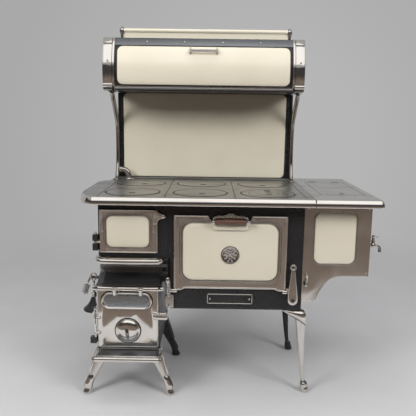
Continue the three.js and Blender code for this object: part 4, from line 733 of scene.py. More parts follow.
for t, w, d in ((0, 1.5, 3), (0.14, 6.5, 9), (0.36, 11, 15), (0.6, 9.5, 13.5), (0.84, 5, 8.5), (1, 1.2, 3)):
    z = SPIN_Z + 24 - 62 * t
    x = SPIN_X - 5 + 8 * t
    grip_lines.append([(x + w * c * 0.8, -320 - max(d, 0.1) * (0.5 + 0.5 * s), z) for c, s in circle(14, 1, 1)])
build("spin_draft_grip", *skin(grip_lines), SHADE_PAINTED_NICKEL, S, sub=1, angle=180)

# ---------- hearth plate ----------
HP = [(-558, -297), (-558, -380), (-549, -391), (-295, -391), (-286, -380), (-286, -297)]
plate("hearth_tray", HP, 200, 206, NICKEL, "stove", "hearth_plate", bevel=1.5, view="top")
rim("hearth_tray_rim", [(x * 0.985 - 6.3, y) for x, y in [(-553, -299), (-553, -376), (-546, -386), (-298, -386),
    (-291, -376), (-291, -299)]], 205.5, 7, 5.0, NICKEL, "stove", view="top")
plate("hearth_tray_floor", [(-549, -303), (-549, -373), (-543, -382), (-301, -382), (-295, -373), (-295, -303)], 206,
    206.9, STEEL_STRIP, "stove", bevel=0.3, view="top")
tube("hearth_bar", [(-556, -398, 200), (-290, -398, 200)], 11, NICKEL, "stove", steps=0, seg=26)
for x in (-560, -283):
    lathe(f"hearth_bar_end_{x}", [(0, -10), (5.6, -9.2), (10.4, -4.4), (11.2, 0), (10.4, 4.4), (5.6, 9.2), (0, 10)],
        (x, -398, 200), TO_RIGHT, SHADE_PAINTED_NICKEL, "stove")
tube("hearth_end_diamond", [(-281, -352, 203), (-275, -366, 220), (-279, -384, 226), (-284, -396, 208)],
    [5, 10, 8, 4], SHADE_PAINTED_NICKEL, "stove", section=circle(12, 1, 0.5), up=TO_RIGHT)


# ---------- legs ----------
def loft(name, frames, mat, stands_for=(), sub=1):
    """Frames of (centre, half width, half depth, squareness)."""
    rings = []
    for (x, y, z), a, b, power in frames:
        rings.append([(x + p, y + q, z) for p, q in circle(20, a, b, power)])
    return build(name, *skin(rings), mat, "stove", stands_for, 180, sub)


for name, x, y, ox, oy, mat in (("ash_leg_front_left", -538, -269, -74, -31, SATIN_NICKEL),
        ("ash_leg_front_right", -322, -269, 74, -31, SATIN_NICKEL), ("ash_leg_rear_left", -538, 78, -74, 26,
        BLACK_CAST), ("ash_leg_rear_right", -322, 78, 74, 26, BLACK_CAST)):
    s = 1 if ox > 0 else -1
    bright = NICKEL if mat is SATIN_NICKEL else mat
    f = 1 if oy > 0 else -1
    frames = [((x, y, 204.4), 33, 20, 0.45), ((x + 0.06 * ox, y + 0.06 * oy, 196), 33, 20, 0.5),
        ((x + 0.2 * ox, y + 0.2 * oy, 165), 30, 19, 0.6), ((x + 0.42 * ox, y + 0.45 * oy, 122), 25, 17, 0.7),
        ((x + 0.66 * ox, y + 0.7 * oy, 80), 19, 15, 0.8), ((x + 0.82 * ox, y + 0.86 * oy, 48), 14.5, 13.5, 0.9),
        ((x + 0.9 * ox, y + 0.94 * oy, 30), 14.5, 15, 1), ((x + 0.97 * ox, y + 0.98 * oy, 17), 18.5, 20, 1),
        ((x + ox, y + oy, 8), 21.5, 23.5, 1), ((x + ox, y + oy, 3), 21.5, 23.5, 1),
        ((x + ox, y + oy, 0.4), 19, 21, 1), ((x + ox, y + oy, 0.05), 10, 11, 1)]
    loft(name + "_cast", frames, mat, name)
    toe = [(x + 0.60 * ox + s * 2, y + 0.62 * oy + f * 10, 92), (x + 0.74 * ox + s * 3, y + 0.76 * oy + f * 11, 66),
        (x + 0.88 * ox + s * 3, y + 0.90 * oy + f * 10, 36), (x + 0.97 * ox + s * 1, y + 0.97 * oy + f * 8, 17)]
    if mat is SATIN_NICKEL:
        # A dark steel shell a little larger than the toe, behind it: painted shade round the toe's edge.
        tube(name + "_toe_painted_shade", [(px, py - f * 3.2, pz + 1) for px, py, pz in toe], [6, 15.6, 18.8, 11.5],
            DARK_STEEL, "stove", ball=True, section=circle(22, 1, 0.62), up=(0, -1, 0.85))
    tube(name + "_toe", toe, [4, 13.5, 16.5, 10], bright, "stove", ball=True, section=circle(22, 1, 0.62),
        up=(0, -1, 0.85))
    edge = [(x + s * 31, y + f * 14, 200), (x + 0.2 * ox + s * 28, y + 0.2 * oy + f * 12, 163),
        (x + 0.42 * ox + s * 23, y + 0.45 * oy + f * 11, 122), (x + 0.62 * ox + s * 18, y + 0.64 * oy + f * 10, 88)]
    tube(name + "_edge", edge, [4, 4.5, 4.5, 3], bright, "stove", ball=True)

HORN = [(228, 381.2, 377.5, 3), (235, 381.8, 374, 8), (248, 382, 367, 14), (262, 382.1, 358.5, 19),
    (278, 382.2, 350, 23), (296, 382.2, 340, 26), (312, 382, 329, 28), (324, 381, 320, 28), (333, 377, 312.5, 25),
    (339, 369, 309, 20), (342, 357, 313, 13), (343, 347, 328, 5)]
for name, cx, y, d, wing, mat in (("oven_leg_front", 313, -256, -1, 95, SATIN_NICKEL),
        ("oven_leg_rear", 301, 190, 1, 60, BLACK_CAST)):
    k = cx - 313
    bright = NICKEL if mat is SATIN_NICKEL else mat
    frames = [((k + 303, y, 382.4), 19, 15, 0.5), ((k + 307, y, 366), 20, 15.5, 0.6),
        ((k + 315, y, 340), 22, 16, 0.75), ((k + 318, y, 314), 22, 15.5, 0.9), ((k + 320, y, 270), 18.5, 14, 1),
        ((k + 324, y, 205), 15.5, 12.5, 1), ((k + 329, y, 136), 12.6, 11, 1), ((k + 335, y, 70), 10, 9.4, 1),
        ((k + 339, y, 46), 9.4, 9.4, 1), ((k + 342, y + d * 3, 33), 13, 13.5, 1),
        ((k + 346, y + d * 4, 19), 18.2, 19.6, 1), ((k + 348, y + d * 4, 9), 19, 21, 1),
        ((k + 348, y + d * 4, 2.5), 18.6, 20.4, 1), ((k + 348, y + d * 4, 0.05), 15, 17, 1)]
    loft(name + "_cast", frames, mat, name)
    rings = []
    for x, top, low, deep in HORN:
        x = cx + 30 - (343 - x) * wing / 95
        mid = y + d * 2
        rings.append([(x, mid + q * deep, (top + low) / 2 + r * (top - low) / 2) for q, r in circle(20, 1, 1, 0.85)])
    build(name + "_horn", *skin(rings), bright, "stove", sub=1, angle=180)
    # A dark steel copy of the horn, set a little lower and behind it: painted shadow under the horn's edge.
    rings = [[(px, py + (2.5 if d < 0 else -2.5), pz - (3.2 if pz < 360 else 0.6)) for px, py, pz in ring]
        for ring in rings]
    build(name + "_horn_painted_shadow", *skin(rings), DARK_STEEL, "stove", sub=1, angle=180)
    # A dark steel shell a little larger than the toe, behind it: painted shade round the toe's edge.
    tube(name + "_toe_painted_shade", [(cx + 24, y - 5, 52), (cx + 28, y - 10, 38), (cx + 33, y - 10, 19)], [9, 16, 13.5],
        DARK_STEEL, "stove", ball=True, section=circle(22, 1, 0.6), up=(0, -1, 0.85))
    tube(name + "_toe", [(cx + 24, y - 8, 50), (cx + 28, y - 13, 36), (cx + 33, y - 13, 18)], [7, 14, 12], bright,
        "stove", ball=True, section=circle(22, 1, 0.6), up=(0, -1, 0.85))

# ---------- oven door ----------
O = "oven_door"
OP = (-198, 205, 515, 761)
line = ([(-236, 468), (-228, 465), (-205, 467), (-190, 475)] + [(196, 475), (212, 467), (236, 465), (243, 468)]
    + arc(238, 791, 5, 5, 0, 90, 4) + [(93, 796)] + arc(76, 790, 16, 16, 10, -190, 12) + [(59, 797), (-55, 797)]
    + arc(-72, 790, 16, 16, -10, -170, 12) + [(-89, 796)] + arc(-231, 791, 5, 5, 90, 180, 4))
plate("oven_door_casting", line, 272.5, 283, NICKEL, O, "oven_door_frame", holes=[grown(OP, 1, 42)], bevel=2.6)
plate("oven_door_backing", grown(OP, 8, 40), 273, 276, DARK_STEEL, O, bevel=0.4)
lip_left = [(-96, -283, 793), (-200, -283, 793), (-229, -283, 792.5), (-233, -283, 788), (-233, -283, 700),
    (-233, -283, 500), (-232, -283, 478)]
tube("oven_door_lip_left", lip_left, 3.3, NICKEL, O, seg=14, steps=4, ball=True)
lip_right = [(100, -283, 793), (200, -283, 793), (236, -283, 792.5), (240, -283, 788), (240, -283, 700),
    (240, -283, 500), (239, -283, 478)]
tube("oven_door_lip_right", lip_right, 3.3, NICKEL, O, seg=14, steps=4, ball=True)
tube("oven_door_lip_low", [(-230, -283, 470), (-205, -283, 472), (-188, -283, 480), (-100, -283, 481),
    (100, -283, 481), (194, -283, 480), (212, -283, 472), (236, -283, 470)], 3.4, NICKEL, O, seg=14, steps=5,
    ball=True)
# The beads round the enamel panel use the darkened nickel: painted shade of the sunken ring.
rim("oven_door_inner_bead", grown(OP, 5, 46, 12), 282.2, 7, 3.4, SHADE_PAINTED_NICKEL, O)
rim("oven_door_middle_bead", rrect(OP[0] - 14, OP[1] + 14, OP[2] - 14, OP[3] + 12, 52, 12), 282.4, 4.5, 1.7,
    SHADE_PAINTED_NICKEL, O)
pillow("oven_door_enamel", OP, 42, [(0, 284), (0.7, 287), (2.6, 289.4), (6, 291), (12, 291.8), (26, 292.1),
    (60, 292.3)], CREAM, O, "oven_door_panel", back=277)
for x0, x1 in ((-251, -222), (229, 262)):
    lathe(f"oven_door_knuckle_{x0}", [(0, 0.3), (7.6, 0.3), (9, 2.2), (9, x1 - x0 - 2.2), (7.6, x1 - x0 - 0.3),
        (0, x1 - x0 - 0.3)], (x0, -283.9, 466), TO_RIGHT, NICKEL, O)
pillow("oven_door_grip_lip", (-72, 77, 733, 767), 16, [(0, 290.6), (0.8, 295.5), (3, 300), (7, 302.8), (13, 304)],
    CREAM, O, back=289.5)
# handle: ferrule balls, posts, wooden grip and a shaped back plate
back = smooth_path([(-72, 778, 0), (-71, 788, 0), (-60, 793, 0), (-30, 796, 0), (-16, 801, 0), (-8, 806, 0),
    (2.5, 808, 0), (13, 806, 0), (21, 801, 0), (35, 796, 0), (65, 793, 0), (76, 788, 0), (77, 778, 0), (60, 766, 0),
    (-55, 766, 0)], 5, True)
plate("oven_handle_plate", [(p.x, min(p.y, 806.5)) for p in back], 281.5, 289.6, NICKEL, O, bevel=3.5)
for k, x in enumerate((-27, -12, 2.5, 17, 32)):
    screw(f"oven_handle_bead_{k}", (x, -288.8, (790, 794, 798, 794, 790)[k]), TO_FRONT, (3, 4, 6, 4, 3)[k], NICKEL, O)
for x in (-71.8, 76.8):
    s = -1 if x < 0 else 1
    tube(f"oven_handle_post_{s}", [(x, -286, 774), (x, -300, 774.5), (x, -318, 775)], [9, 6.5, 7.5], NICKEL, O)
    lathe(f"oven_handle_ball_{s}", [(0, -8), (5, -7.4), (8.6, -3.6), (9.6, 0), (8.6, 3.6), (7, 5.4), (7, 7),
        (0, 7.2)], (x, -320, 775), (-s, 0, 0), NICKEL, O)
lathe("oven_handle_wood", [(0, 0), (6.2, 0), (7.4, 1.5), (8.2, 8), (9.6, 22), (11.2, 44), (11.6, 68), (11.2, 92),
    (9.6, 114), (8.2, 128), (7.4, 134.5), (6.2, 136), (0, 136)], (-65.5, -319.9, 775), TO_RIGHT, WOOD, O,
    "oven_handle_grip", seg=48, angle=60)
# round relief: a plain rosette
C0 = (2.5, -291.4, 628)
lathe("oven_rosette_dish", [(0, 0), (38.5, 0), (39.5, 1.4), (38.6, 4.0), (36, 4.8), (33.5, 3.4), (31, 2.0), (0, 2.0)],
    C0, TO_FRONT, SHADE_PAINTED_NICKEL, O, seg=72, angle=60)
for ring_r, petals, size in ((20.5, 10, 8.2), (10.5, 6, 6.4)):
    for k in range(petals):
        a = 2 * PI * k / petals + (0.3 if petals == 6 else 0)
        cx, cz = C0[0] + ring_r * math.cos(a), C0[2] + ring_r * math.sin(a)
        ux, uz = math.cos(a), math.sin(a)
        rings = []
        for t, w, h in ((-1, 0.05, 0), (-0.7, 0.32, 1.2), (-0.2, 0.48, 2.2), (0.4, 0.52, 2.4), (0.8, 0.36, 1.6),
                (1.05, 0.04, 0)):
            row = []
            for i in range(7):
                s = PI * i / 6
                q = size * w * math.cos(s)
                row.append((cx + ux * t * size * 1.2 - uz * q, C0[1] - 1.9 - h * (0.25 + math.sin(s)), cz
                    + uz * t * size * 1.2 + ux * q))
            row += [(row[-1][0], C0[1] - 1.2, row[-1][2]), (row[0][0], C0[1] - 1.2, row[0][2])]
            rings.append(row)
        build(f"oven_rosette_{petals}_{k}", *skin(rings), SATIN_NICKEL, O, angle=60)
lathe("oven_rosette_middle", [(0, 1.5), (5.5, 1.5), (5.5, 3.6), (3.6, 5.2), (0, 5.8)], C0, TO_FRONT, SATIN_NICKEL, O)

# ---------- oven hinge post, spring and right bracket ----------
plate("hinge_post_plate", rrect(-273, -237, 388, 446, 3, 3), 272.6, 283, SATIN_NICKEL, "stove", "oven_hinge_post",
    bevel=2.2)
screw("hinge_post_screw", (-257, -283, 401), TO_FRONT, 3.4, DARK_STEEL, "stove")
lathe("hinge_post_stem", [(0, 440), (9.5, 440), (9.5, 444), (7, 446), (5.4, 447.5), (5.4, 489), (9, 490), (9.6, 494),
    (8.6, 497), (6.4, 499), (9.8, 503), (10.4, 510), (9.6, 518), (7, 523), (3, 525.4), (0, 525.8)], (-262, -283.3, 0),
    TO_TOP, NICKEL, "stove")
coil_pts = []
for i in range(5 * 18 + 1):
    a = 2 * PI * i / 18
    coil_pts.append((-262 + 7.7 * math.cos(a), -283.3 + 7.7 * math.sin(a), 449.2 + 38 * i / 90))
tube("hinge_spring_coil", coil_pts, 1.7, NICKEL, "stove", "hinge_spring", seg=10, steps=0)
tube("hinge_bracket_right", [(246, -276, 480), (256, -284, 474), (262, -285, 468), (268, -282, 458)], [5, 8, 8, 5],
    NICKEL, "stove")

# ---------- oven damper lever ----------
L = "oven_damper_lever"
rows = []
for z, w, d in ((414, 6, 6), (418, 15, 7), (426, 20.5, 7.6), (436, 22, 8), (448, 21.6, 8), (462, 20.6, 8),
        (478, 19.2, 8.4), (496, 17, 8.6), (516, 14.4, 8.6), (536, 12, 8.4), (554, 10, 7.8), (566, 9, 7.4),
        (573, 8.2, 7)):
    cx = 272 - (z - 436) * 0.012
    rows.append([(cx + w * c, -302 - d * q * 0.9, z) for c, q in circle(24, 1, 1, 0.75)])
build("damper_lever_body", *skin(rows), REFLECTION_PAINTED_NICKEL, L, L, sub=1, angle=180)
ring = [(x, -302, z) for x, z in oval(270.4, 580.5, 9.4, 9.4, 28)]
tube("damper_lever_ring", ring, 4.8, REFLECTION_PAINTED_NICKEL, L, steps=0, closed=True, seg=14, up=TO_BACK)
lathe("damper_lever_hub", [(0, 0), (8, 0), (8.4, 1.4), (5.4, 2.6), (0, 2.8)], (272, -308.4, 435), TO_FRONT,
    DARK_STEEL, L)
lathe("damper_lever_boss", [(0, 0.4), (12, 0.4), (10, 4), (9, 24), (0, 24)], (272, -272.3, 436), TO_FRONT, NICKEL, L)

# ---------- reservoir ----------
curve = [(313.3, 863.4), (313.3, 418.5), (361, 418.5), (363, 430), (374, 431)]
curve += [(p.x, p.y) for p in smooth_path([(374, 431, 0), (380, 447, 0), (392, 472, 0), (410, 500, 0), (435, 522, 0),
    (470, 534, 0), (500, 536, 0)], 5)][1:]
curve += [(598, 536), (598, 863.4)]
# Reservoir face in the darker, warmer nickel: painted brown reflection.
plate("reservoir_face", curve, 262.2, 272, REFLECTION_PAINTED_NICKEL, "stove", "reservoir_front", bevel=2.0)
tube("reservoir_face_bead", [(x, -270.6, z) for x, z in curve[1:-1]], 2.4, NICKEL, "stove", steps=0, seg=10)
RP = (360, 533, 591, 811)
rim("reservoir_panel_bead", grown(RP, 4, 34, 10), 271.6, 6, 2.8, SHADE_PAINTED_NICKEL, "stove")
pillow("reservoir_enamel", RP, 30, [(0, 272.4), (0.6, 274.6), (2.2, 276.2), (5, 277.2), (12, 277.7), (40, 277.9)],
    CREAM, "stove", "reservoir_panel", back=271)
for x, z in ((330, 830), (585, 830), (585, 552)):
    screw(f"reservoir_screw_{x}_{z}", (x, -272, z), TO_FRONT, 3.6, NICKEL, "stove")
D = "reservoir_damper"
lathe("small_damper_hub", [(0, 0.4), (9, 0.4), (9.6, 2), (9, 8), (6, 10.5), (0, 11)], (329, -272.3, 503), TO_FRONT,
    BLACK_CAST, D)
tube("small_damper_arm", [(329, -283, 497), (330, -284, 512), (332, -284.5, 528), (331, -284, 541)], [6, 4, 4.6, 6.5],
    NICKEL, D, "reservoir_damper", ball=True)

# ---------- tap ----------
T = (598.3, -236, 664)
lathe("tap_flange", [(0, 0), (13, 0), (13.6, 1.5), (12.4, 4), (8, 5.4), (7, 8), (7, 14), (9, 15.5), (9, 19),
    (7.4, 20.5), (7.2, 27), (0, 27)], T, TO_RIGHT, REFLECTION_PAINTED_NICKEL, "stove", "tap_body")
tube("tap_spout", [(T[0] + 20, -236, 664), (T[0] + 34, -236, 665), (T[0] + 45, -236, 660), (T[0] + 49.8, -236, 649),
    (T[0] + 50.4, -236, 638)], [7, 6.2, 6.2, 6.4, 7.3], REFLECTION_PAINTED_NICKEL, "stove", seg=20)
lathe("tap_valve", [(0, -5), (6, -5), (10.5, -2), (12, 3), (11, 8), (7.4, 12), (6.8, 17), (8.6, 18.5), (8.6, 23),
    (6.4, 25), (6, 30), (0, 30)], (T[0] + 20, -236, 664), TO_TOP, REFLECTION_PAINTED_NICKEL, "stove")
lathe("tap_key_stem", [(0, 30.4), (5.6, 30.4), (6.4, 34), (5, 37), (6.6, 42), (5.4, 46.5), (0, 48.6)],
    (T[0] + 20, -236, 664), TO_TOP, NICKEL, "tap_handle", "tap_handle")
tube("tap_key_bar", [(T[0] + 3.5, -236, 703), (T[0] + 12, -236, 703), (T[0] + 20, -236, 703.5),
    (T[0] + 28, -236, 703), (T[0] + 37, -236, 703)], [4.6, 3, 4, 3, 4.6], NICKEL, "tap_handle", ball=True)

# ---------- left side: air bell, draft rod, shaker ----------
bell = []
for i in range(17):
    a = math.radians(94 + (266 - 94) * i / 16)
    bell.append((math.cos(a), math.sin(a)))
rings = []
for r, z in ((50, 364.2), (50.3, 369), (47, 374), (38, 381), (30, 390), (24, 400), (19, 411), (15.5, 422)):
    ring = []
    for c, s in bell:
        x = min(-581 + r * c, -562.6)
        ring.append((x, -250 + r * s, z))
    rings.append(ring)
build("air_bell", *skin(rings), BLACK_CAST, "stove", "side_air_hood", angle=50)
R = "draft_rod"
lathe("draft_rod_collar", [(0, 422.5), (10, 422.5), (11.6, 424), (11.6, 428), (9.6, 430), (11.4, 432), (11.4, 438),
    (9, 441), (5.6, 443), (4.6, 460), (4.4, 484), (6.5, 490), (5, 495), (0, 495)], (-585, -250, 0), TO_TOP, NICKEL, R,
    R)
eye = [(x, -250, z) for x, z in oval(-585, 512.5, 11.8, 15.6, 28)]
tube("draft_rod_eye", eye, 3.4, NICKEL, R, steps=0, closed=True, seg=12, up=TO_BACK)
K = "shaker"
tube("shaker_arm", [(-555, -212, 498), (-590, -212, 498), (-604, -213, 498), (-607, -226, 497.5)], [6.6, 6.2, 6.0, 5],
    BLACK_CAST, K, "shaker_lever", ball=True)
tube("shaker_wire", [(-607, -224, 497.5), (-608, -246, 494), (-611, -262, 485), (-616, -267, 463), (-622, -270, 442)],
    [4.6, 4.6, 4.4, 4.4, 4.6], NICKEL, K, ball=True)
g0, g1 = Vector((-610, -264, 484)), Vector((-622, -270, 441))
way = (g1 - g0).normalized()
cu = (Vector(TO_RIGHT) - way * way.x).normalized()
cv = way.cross(cu)
turns = 4
pts = []
for i in range(turns * 18 + 1):
    a = 2 * PI * i / 18
    pts.append(g0 + way * ((0.06 + 0.86 * i / (turns * 18)) * (g1 - g0).length) + cu * (11.2 * math.cos(a))
        + cv * (11.2 * math.sin(a)))
tube("shaker_coil", pts, 2.5, SHADE_PAINTED_NICKEL, K, "shaker_coil_grip", seg=10, steps=0)

# ---------- backsplash ----------
pillow("splash_enamel", (-526, 290, 892.5, 1311.4), 26, [(0, -267.0), (0.5, -264.8), (2.4, -263.2), (6, -262.6),
    (30, -262.3)], CREAM, "stove", "backsplash_panel", back=-267.8)
for side, x0, x1 in (("left", -553, -545), ("right", 311, 321)):
    plate(f"splash_{side}_channel", [(x0, 884), (x1, 884), (x1, 1310), (x0, 1310)], -276, -262, BLACK, "stove",
        bevel=2)
plate("splash_right_border", [(288, 886), (300, 886), (300, 1310), (288, 1310)], -267.6, -262.6, BLACK, "stove",
    bevel=1)
plate("splash_foot_rail", [(-546, 251), (312, 251), (312, 263), (-546, 263)], 880.4, 890.2, TOP_IRON, "stove",
    bevel=2.4, view="top")
for x in (-538, 305):
    for z in (905, 1100, 1290):
        screw(f"splash_back_screw_{x}_{z}", (x, 280, z), TO_BACK, 4.5, BLACK_CAST, "stove")
lathe("elbow_flange", [(0, 880.3), (25, 880.3), (26, 881.6), (24.6, 883.6), (18.4, 885.6), (17, 889), (0, 889)],
    (-495, 226, 0), TO_TOP, REFLECTION_PAINTED_NICKEL, "stove", "elbow_pipe")
bend = [(-495, 226, 886), (-495, 226, 896)] + [(-531 + 36 * math.cos(math.radians(a)), 226, 896
    + 36 * math.sin(math.radians(a))) for a in (18, 36, 54, 72, 90)] + [(-540, 226, 932)]
tube("elbow_bend", bend, 14.6, REFLECTION_PAINTED_NICKEL, "stove", seg=28, steps=3)
lathe("elbow_mouth", [(0, 0), (16.6, 0), (17.6, 1.5), (17.6, 5), (16, 6.4), (0, 6.4)], (-536, 226, 932), (-1, 0, 0),
    NICKEL, "stove")

# ---------- S brackets ----------
for name, x, s in (("bracket_left", -555, -1), ("bracket_right", 321, 1)):
    pts = [(x, 215, 884), (x, 222, 905), (x, 246, 970), (x, 250.5, 1065), (x, 240, 1160), (x, 186, 1230),
        (x, 126, 1282), (x, 105, 1309)]
    # The brackets use the darkened nickel: painted dark reflection.
    tube(name + "_scroll", pts, [8.8, 9.4, 8.8, 8.6, 9.6, 11, 10.6, 9.6], SHADE_PAINTED_NICKEL, "stove", name, up=TO_RIGHT,
        section=circle(22, 1.15, 0.95, 0.8), steps=8)
    pillow(name + "_foot", (x - 14, x + 14, 193, 232), 9, [(0, 884), (1.5, 886), (5, 887.5)], SHADE_PAINTED_NICKEL, "stove",
        view="top", back=880.4)
    pillow(name + "_top_pad", (x - 14, x + 14, 78, 133), 9, [(0, 1308), (1, 1311.8)], NICKEL, "stove", view="top",
        back=1307)
    lathe(name + "_bolt", [(0, -9.6), (5.4, -9.6), (6.4, -7.6), (6.4, 7.6), (5.4, 9.6), (0, 9.6)], (x, 204, 1214),
        TO_RIGHT, DARK_STEEL, "stove", seg=24)
    lathe(name + "_knuckle", [(0, -7), (9, -7), (10.4, -5), (10.4, 5), (9, 7), (0, 7)], (x, 204, 1214), TO_RIGHT,
        DARK_STEEL, "stove", seg=36)

# ---------- warming cabinet ----------
CURVE_FRONT, CURVE_DEPTH = -38.1, 45
CURVE_Z, CURVE_HALF = 1395.82, 148.48


def curve_y(z):
    """Front surface of the cabinet at a height."""
    return CURVE_FRONT + CURVE_DEPTH * ((z - CURVE_Z) / CURVE_HALF) ** 2


def curved_sheet(name, x0, x1, z0, z1, low, profile, mat, body, r, stands_for=()):
    """Rounded rectangle that follows the cabinet's curve: profile of (inset, reach)."""
    rings = []
    for inset, reach in [(0, low)] + profile:
        base = rrect(x0 + inset, x1 - inset, z0 + inset, z1 - inset, max(r - inset, 1.5), 8)
        dense = []
        for k, (a, b) in enumerate(base):
            p, q = base[k], base[(k + 1) % len(base)]
            n = 14 if abs(q[1] - p[1]) > 40 else (3 if abs(q[0] - p[0]) > 40 else 1)
            dense += [(p[0] + (q[0] - p[0]) * i / n, p[1] + (q[1] - p[1]) * i / n) for i in range(n)]
        rings.append([(a, curve_y(b) - reach, b) for a, b in dense])
    verts, faces = skin(rings, caps=False)
    n = len(rings[0])
    bm = bmesh.new()
    vs = [bm.verts.new(P(*v)) for v in verts]
    for f in faces:
        bm.faces.new([vs[i] for i in f])
    for start in (0, (len(rings) - 1) * n):
        ring = vs[start:start + n]
        left = sorted([v for v in ring if v.co.x < P((x0 + x1) / 2, 0, 0).x], key=lambda v: v.co.z)
        right = sorted([v for v in ring if v.co.x >= P((x0 + x1) / 2, 0, 0).x], key=lambda v: v.co.z)
        i = j = 0
        while i < len(left) - 1 or j < len(right) - 1:
            if j == len(right) - 1 or (i < len(left) - 1 and left[i + 1].co.z <= right[j + 1].co.z):
                tri = (left[i], left[i + 1], right[j])
                i += 1
            else:
                tri = (right[j], right[j + 1], left[i])
                j += 1
            try:
                bm.faces.new(tri)
            except ValueError:
                pass
    bmesh.ops.recalc_face_normals(bm, faces=bm.faces)
    mesh = bpy.data.meshes.new(name)
    bm.to_mesh(mesh)
    bm.free()
    return place(name, mesh, mat, body, stands_for, 50)


paint(BLACK, "cabinet_shell")
W = "warming_door"
curved_sheet("warming_door_enamel", -506, 261, 1338, 1505.5, 1.4, [(0, 5.4), (0.8, 6.8), (2.6, 7.8), (6, 8.2)], CREAM,
    W, 24, "warming_door")


def band_strip(name, x0, x1, z0, z1, reach0, reach1, mat, stands_for=(), steps=28):
    rings = []
    for k in range(steps + 1):
        z = z0 + (z1 - z0) * k / steps
        e = 0.0
        if k in (0, steps):
            e = 1.2
        y0, y1 = curve_y(z) - reach0, curve_y(z) - reach1 + e
        c = min(1.6, (x1 - x0) / 4)
        rings.append([(x0, y0, z), (x0, y1 + c, z), (x0 + c * 0.3, y1 + c * 0.3, z), (x0 + c, y1, z), (x1 - c, y1, z),
            (x1 - c * 0.3, y1 + c * 0.3, z), (x1, y1 + c, z), (x1, y0, z)])
    return build(name, *skin(rings), mat, "stove", stands_for, 60)


band_strip("cabinet_top_strip", -524, 279, 1509.5, 1543.6, 0.6, 3.0, CABINET_STRIP)
band_strip("cabinet_low_strip", -524, 279, 1318, 1333.5, 0.6, 2.2, STEEL_STRIP)
tube("cabinet_low_bead", [(-522, curve_y(1325) - 1.8, 1325), (277, curve_y(1325) - 1.8, 1325)], 1.8, NICKEL, "stove",
    steps=0, seg=12)
for name, x0, x1, i0, i1 in (("end_band_left", -570.6, -530.5, -529.5, -519),
        ("end_band_right", 285.5, 325.6, 274, 284.5)):
    outer = x0 if x0 < 0 else x1 - 4.5
    band_strip(name + "_plate", x0, x1, 1346, 1520, 0.6, 5.2, NICKEL, name)
    band_strip(name + "_cap", x0, x1, 1519, 1543.9, 0.6, 7.4, NICKEL)
    band_strip(name + "_inner", i0, i1, 1330, 1543.8, 0.6, 7.6, NICKEL)
    band_strip(name + "_edge", outer, outer + 4.5, 1346, 1519, 0.6, 7.6, NICKEL)
    y = curve_y(1335)
    tube(name + "_foot_bead", [(x0 - 1, y - 1, 1335), ((x0 + x1) / 2, y - 1, 1335), (x1 + 1, y - 1, 1335)], 10.5,
        NICKEL, "stove", seg=24, steps=2)
    plate(name + "_foot", rrect(x0, x1, 1313, 1328, 3, 3), -y - 1, -y + 7, NICKEL, "stove", bevel=2.5)
    for z in (1531, 1440):
        screw(f"{name}_rivet_{z}", ((x0 + x1) / 2 + 2, curve_y(z) - (7 if z > 1500 else 4.8), z),
            (0, -1, 0.35 if z > 1500 else 0.1), 4.4, SATIN_NICKEL, "stove")
for x in (-376, -209, -38, 129):
    screw(f"cabinet_strip_rivet_{x}", (x, curve_y(1526) - 2.6, 1526), (0, -1, 0.35), 5.0, SATIN_NICKEL, "stove")
for s, x in ((-1, -570), (1, 325)):
    pts = [(x, curve_y(z) + 5, z) for z in range(1316, 1542, 9)] + [(x, 60, 1540.5), (x, 200, 1540.5),
        (x, 276, 1540.5)]
    tube(f"cabinet_side_bead_{s}", pts, 3.2, BLACK, "stove", steps=0, seg=12)
    for y, z in ((60, 1500), (240, 1500), (60, 1345), (240, 1345)):
        screw(f"cabinet_side_screw_{s}_{y}_{z}", (x, y, z), (s, 0, 0), 4.5, BLACK_CAST, "stove")
# bail handle
zb, yb = 1484.3, curve_y(1484.3) - 8.4
BX = -122.5
tube("warming_bail", [(BX - 59, yb, zb + 1), (BX - 59, yb - 14, zb + 1), (BX - 55, yb - 20, zb + 2),
    (BX - 48, yb - 21.4, zb + 2.5), (BX, yb - 22, zb + 2.5), (BX + 48, yb - 21.4, zb + 2.5),
    (BX + 55, yb - 20, zb + 2), (BX + 59, yb - 14, zb + 1), (BX + 59, yb, zb + 1)],
    [4.6, 4.6, 5.6, 6.0, 6.2, 6.0, 5.6, 4.6, 4.6], NICKEL, W, "warming_handle", seg=20, steps=5)
for x in (BX - 59, BX + 59):
    lathe(f"warming_bail_boss_{x}", [(0, -3), (8.4, -3), (9, 0.5), (8, 4), (6, 6), (5, 10), (0, 10)], (x, yb, zb + 1),
        TO_FRONT, NICKEL, W)
    tube(f"warming_bail_ear_{x}", [(x, yb - 3, zb - 13), (x, yb - 6, zb), (x, yb - 3, zb + 15)], [3, 5.2, 3],
        REFLECTION_PAINTED_NICKEL, W, ball=True)

# ---------- gallery ----------
tube("gallery_rail", [(-526, 266, 1610), (290, 266, 1610)], 10, CREAM, "stove", "gallery_back", steps=0, seg=32)
plate("gallery_sheet", [(-524, 1544.8), (288, 1544.8), (288, 1606), (-524, 1606)], -268, -264, CREAM, "stove",
    bevel=1.2)
tube("gallery_fold", [(-524, 262.5, 1549.5), (288, 262.5, 1549.5)], 4.5, CREAM, "stove", steps=0, seg=16)
for x in (-528, 292):
    lathe(f"gallery_post_{x}", [(0, 1544.6), (11, 1544.6), (11.5, 1547), (8.5, 1551), (6.5, 1560), (7.6, 1580),
        (9.5, 1592), (12.6, 1600), (13.6, 1608), (13, 1615), (10.6, 1620), (8.4, 1622), (7, 1625), (3, 1627.6),
        (0, 1628)], (x, 266, 0), TO_TOP, REFLECTION_PAINTED_NICKEL, "stove")

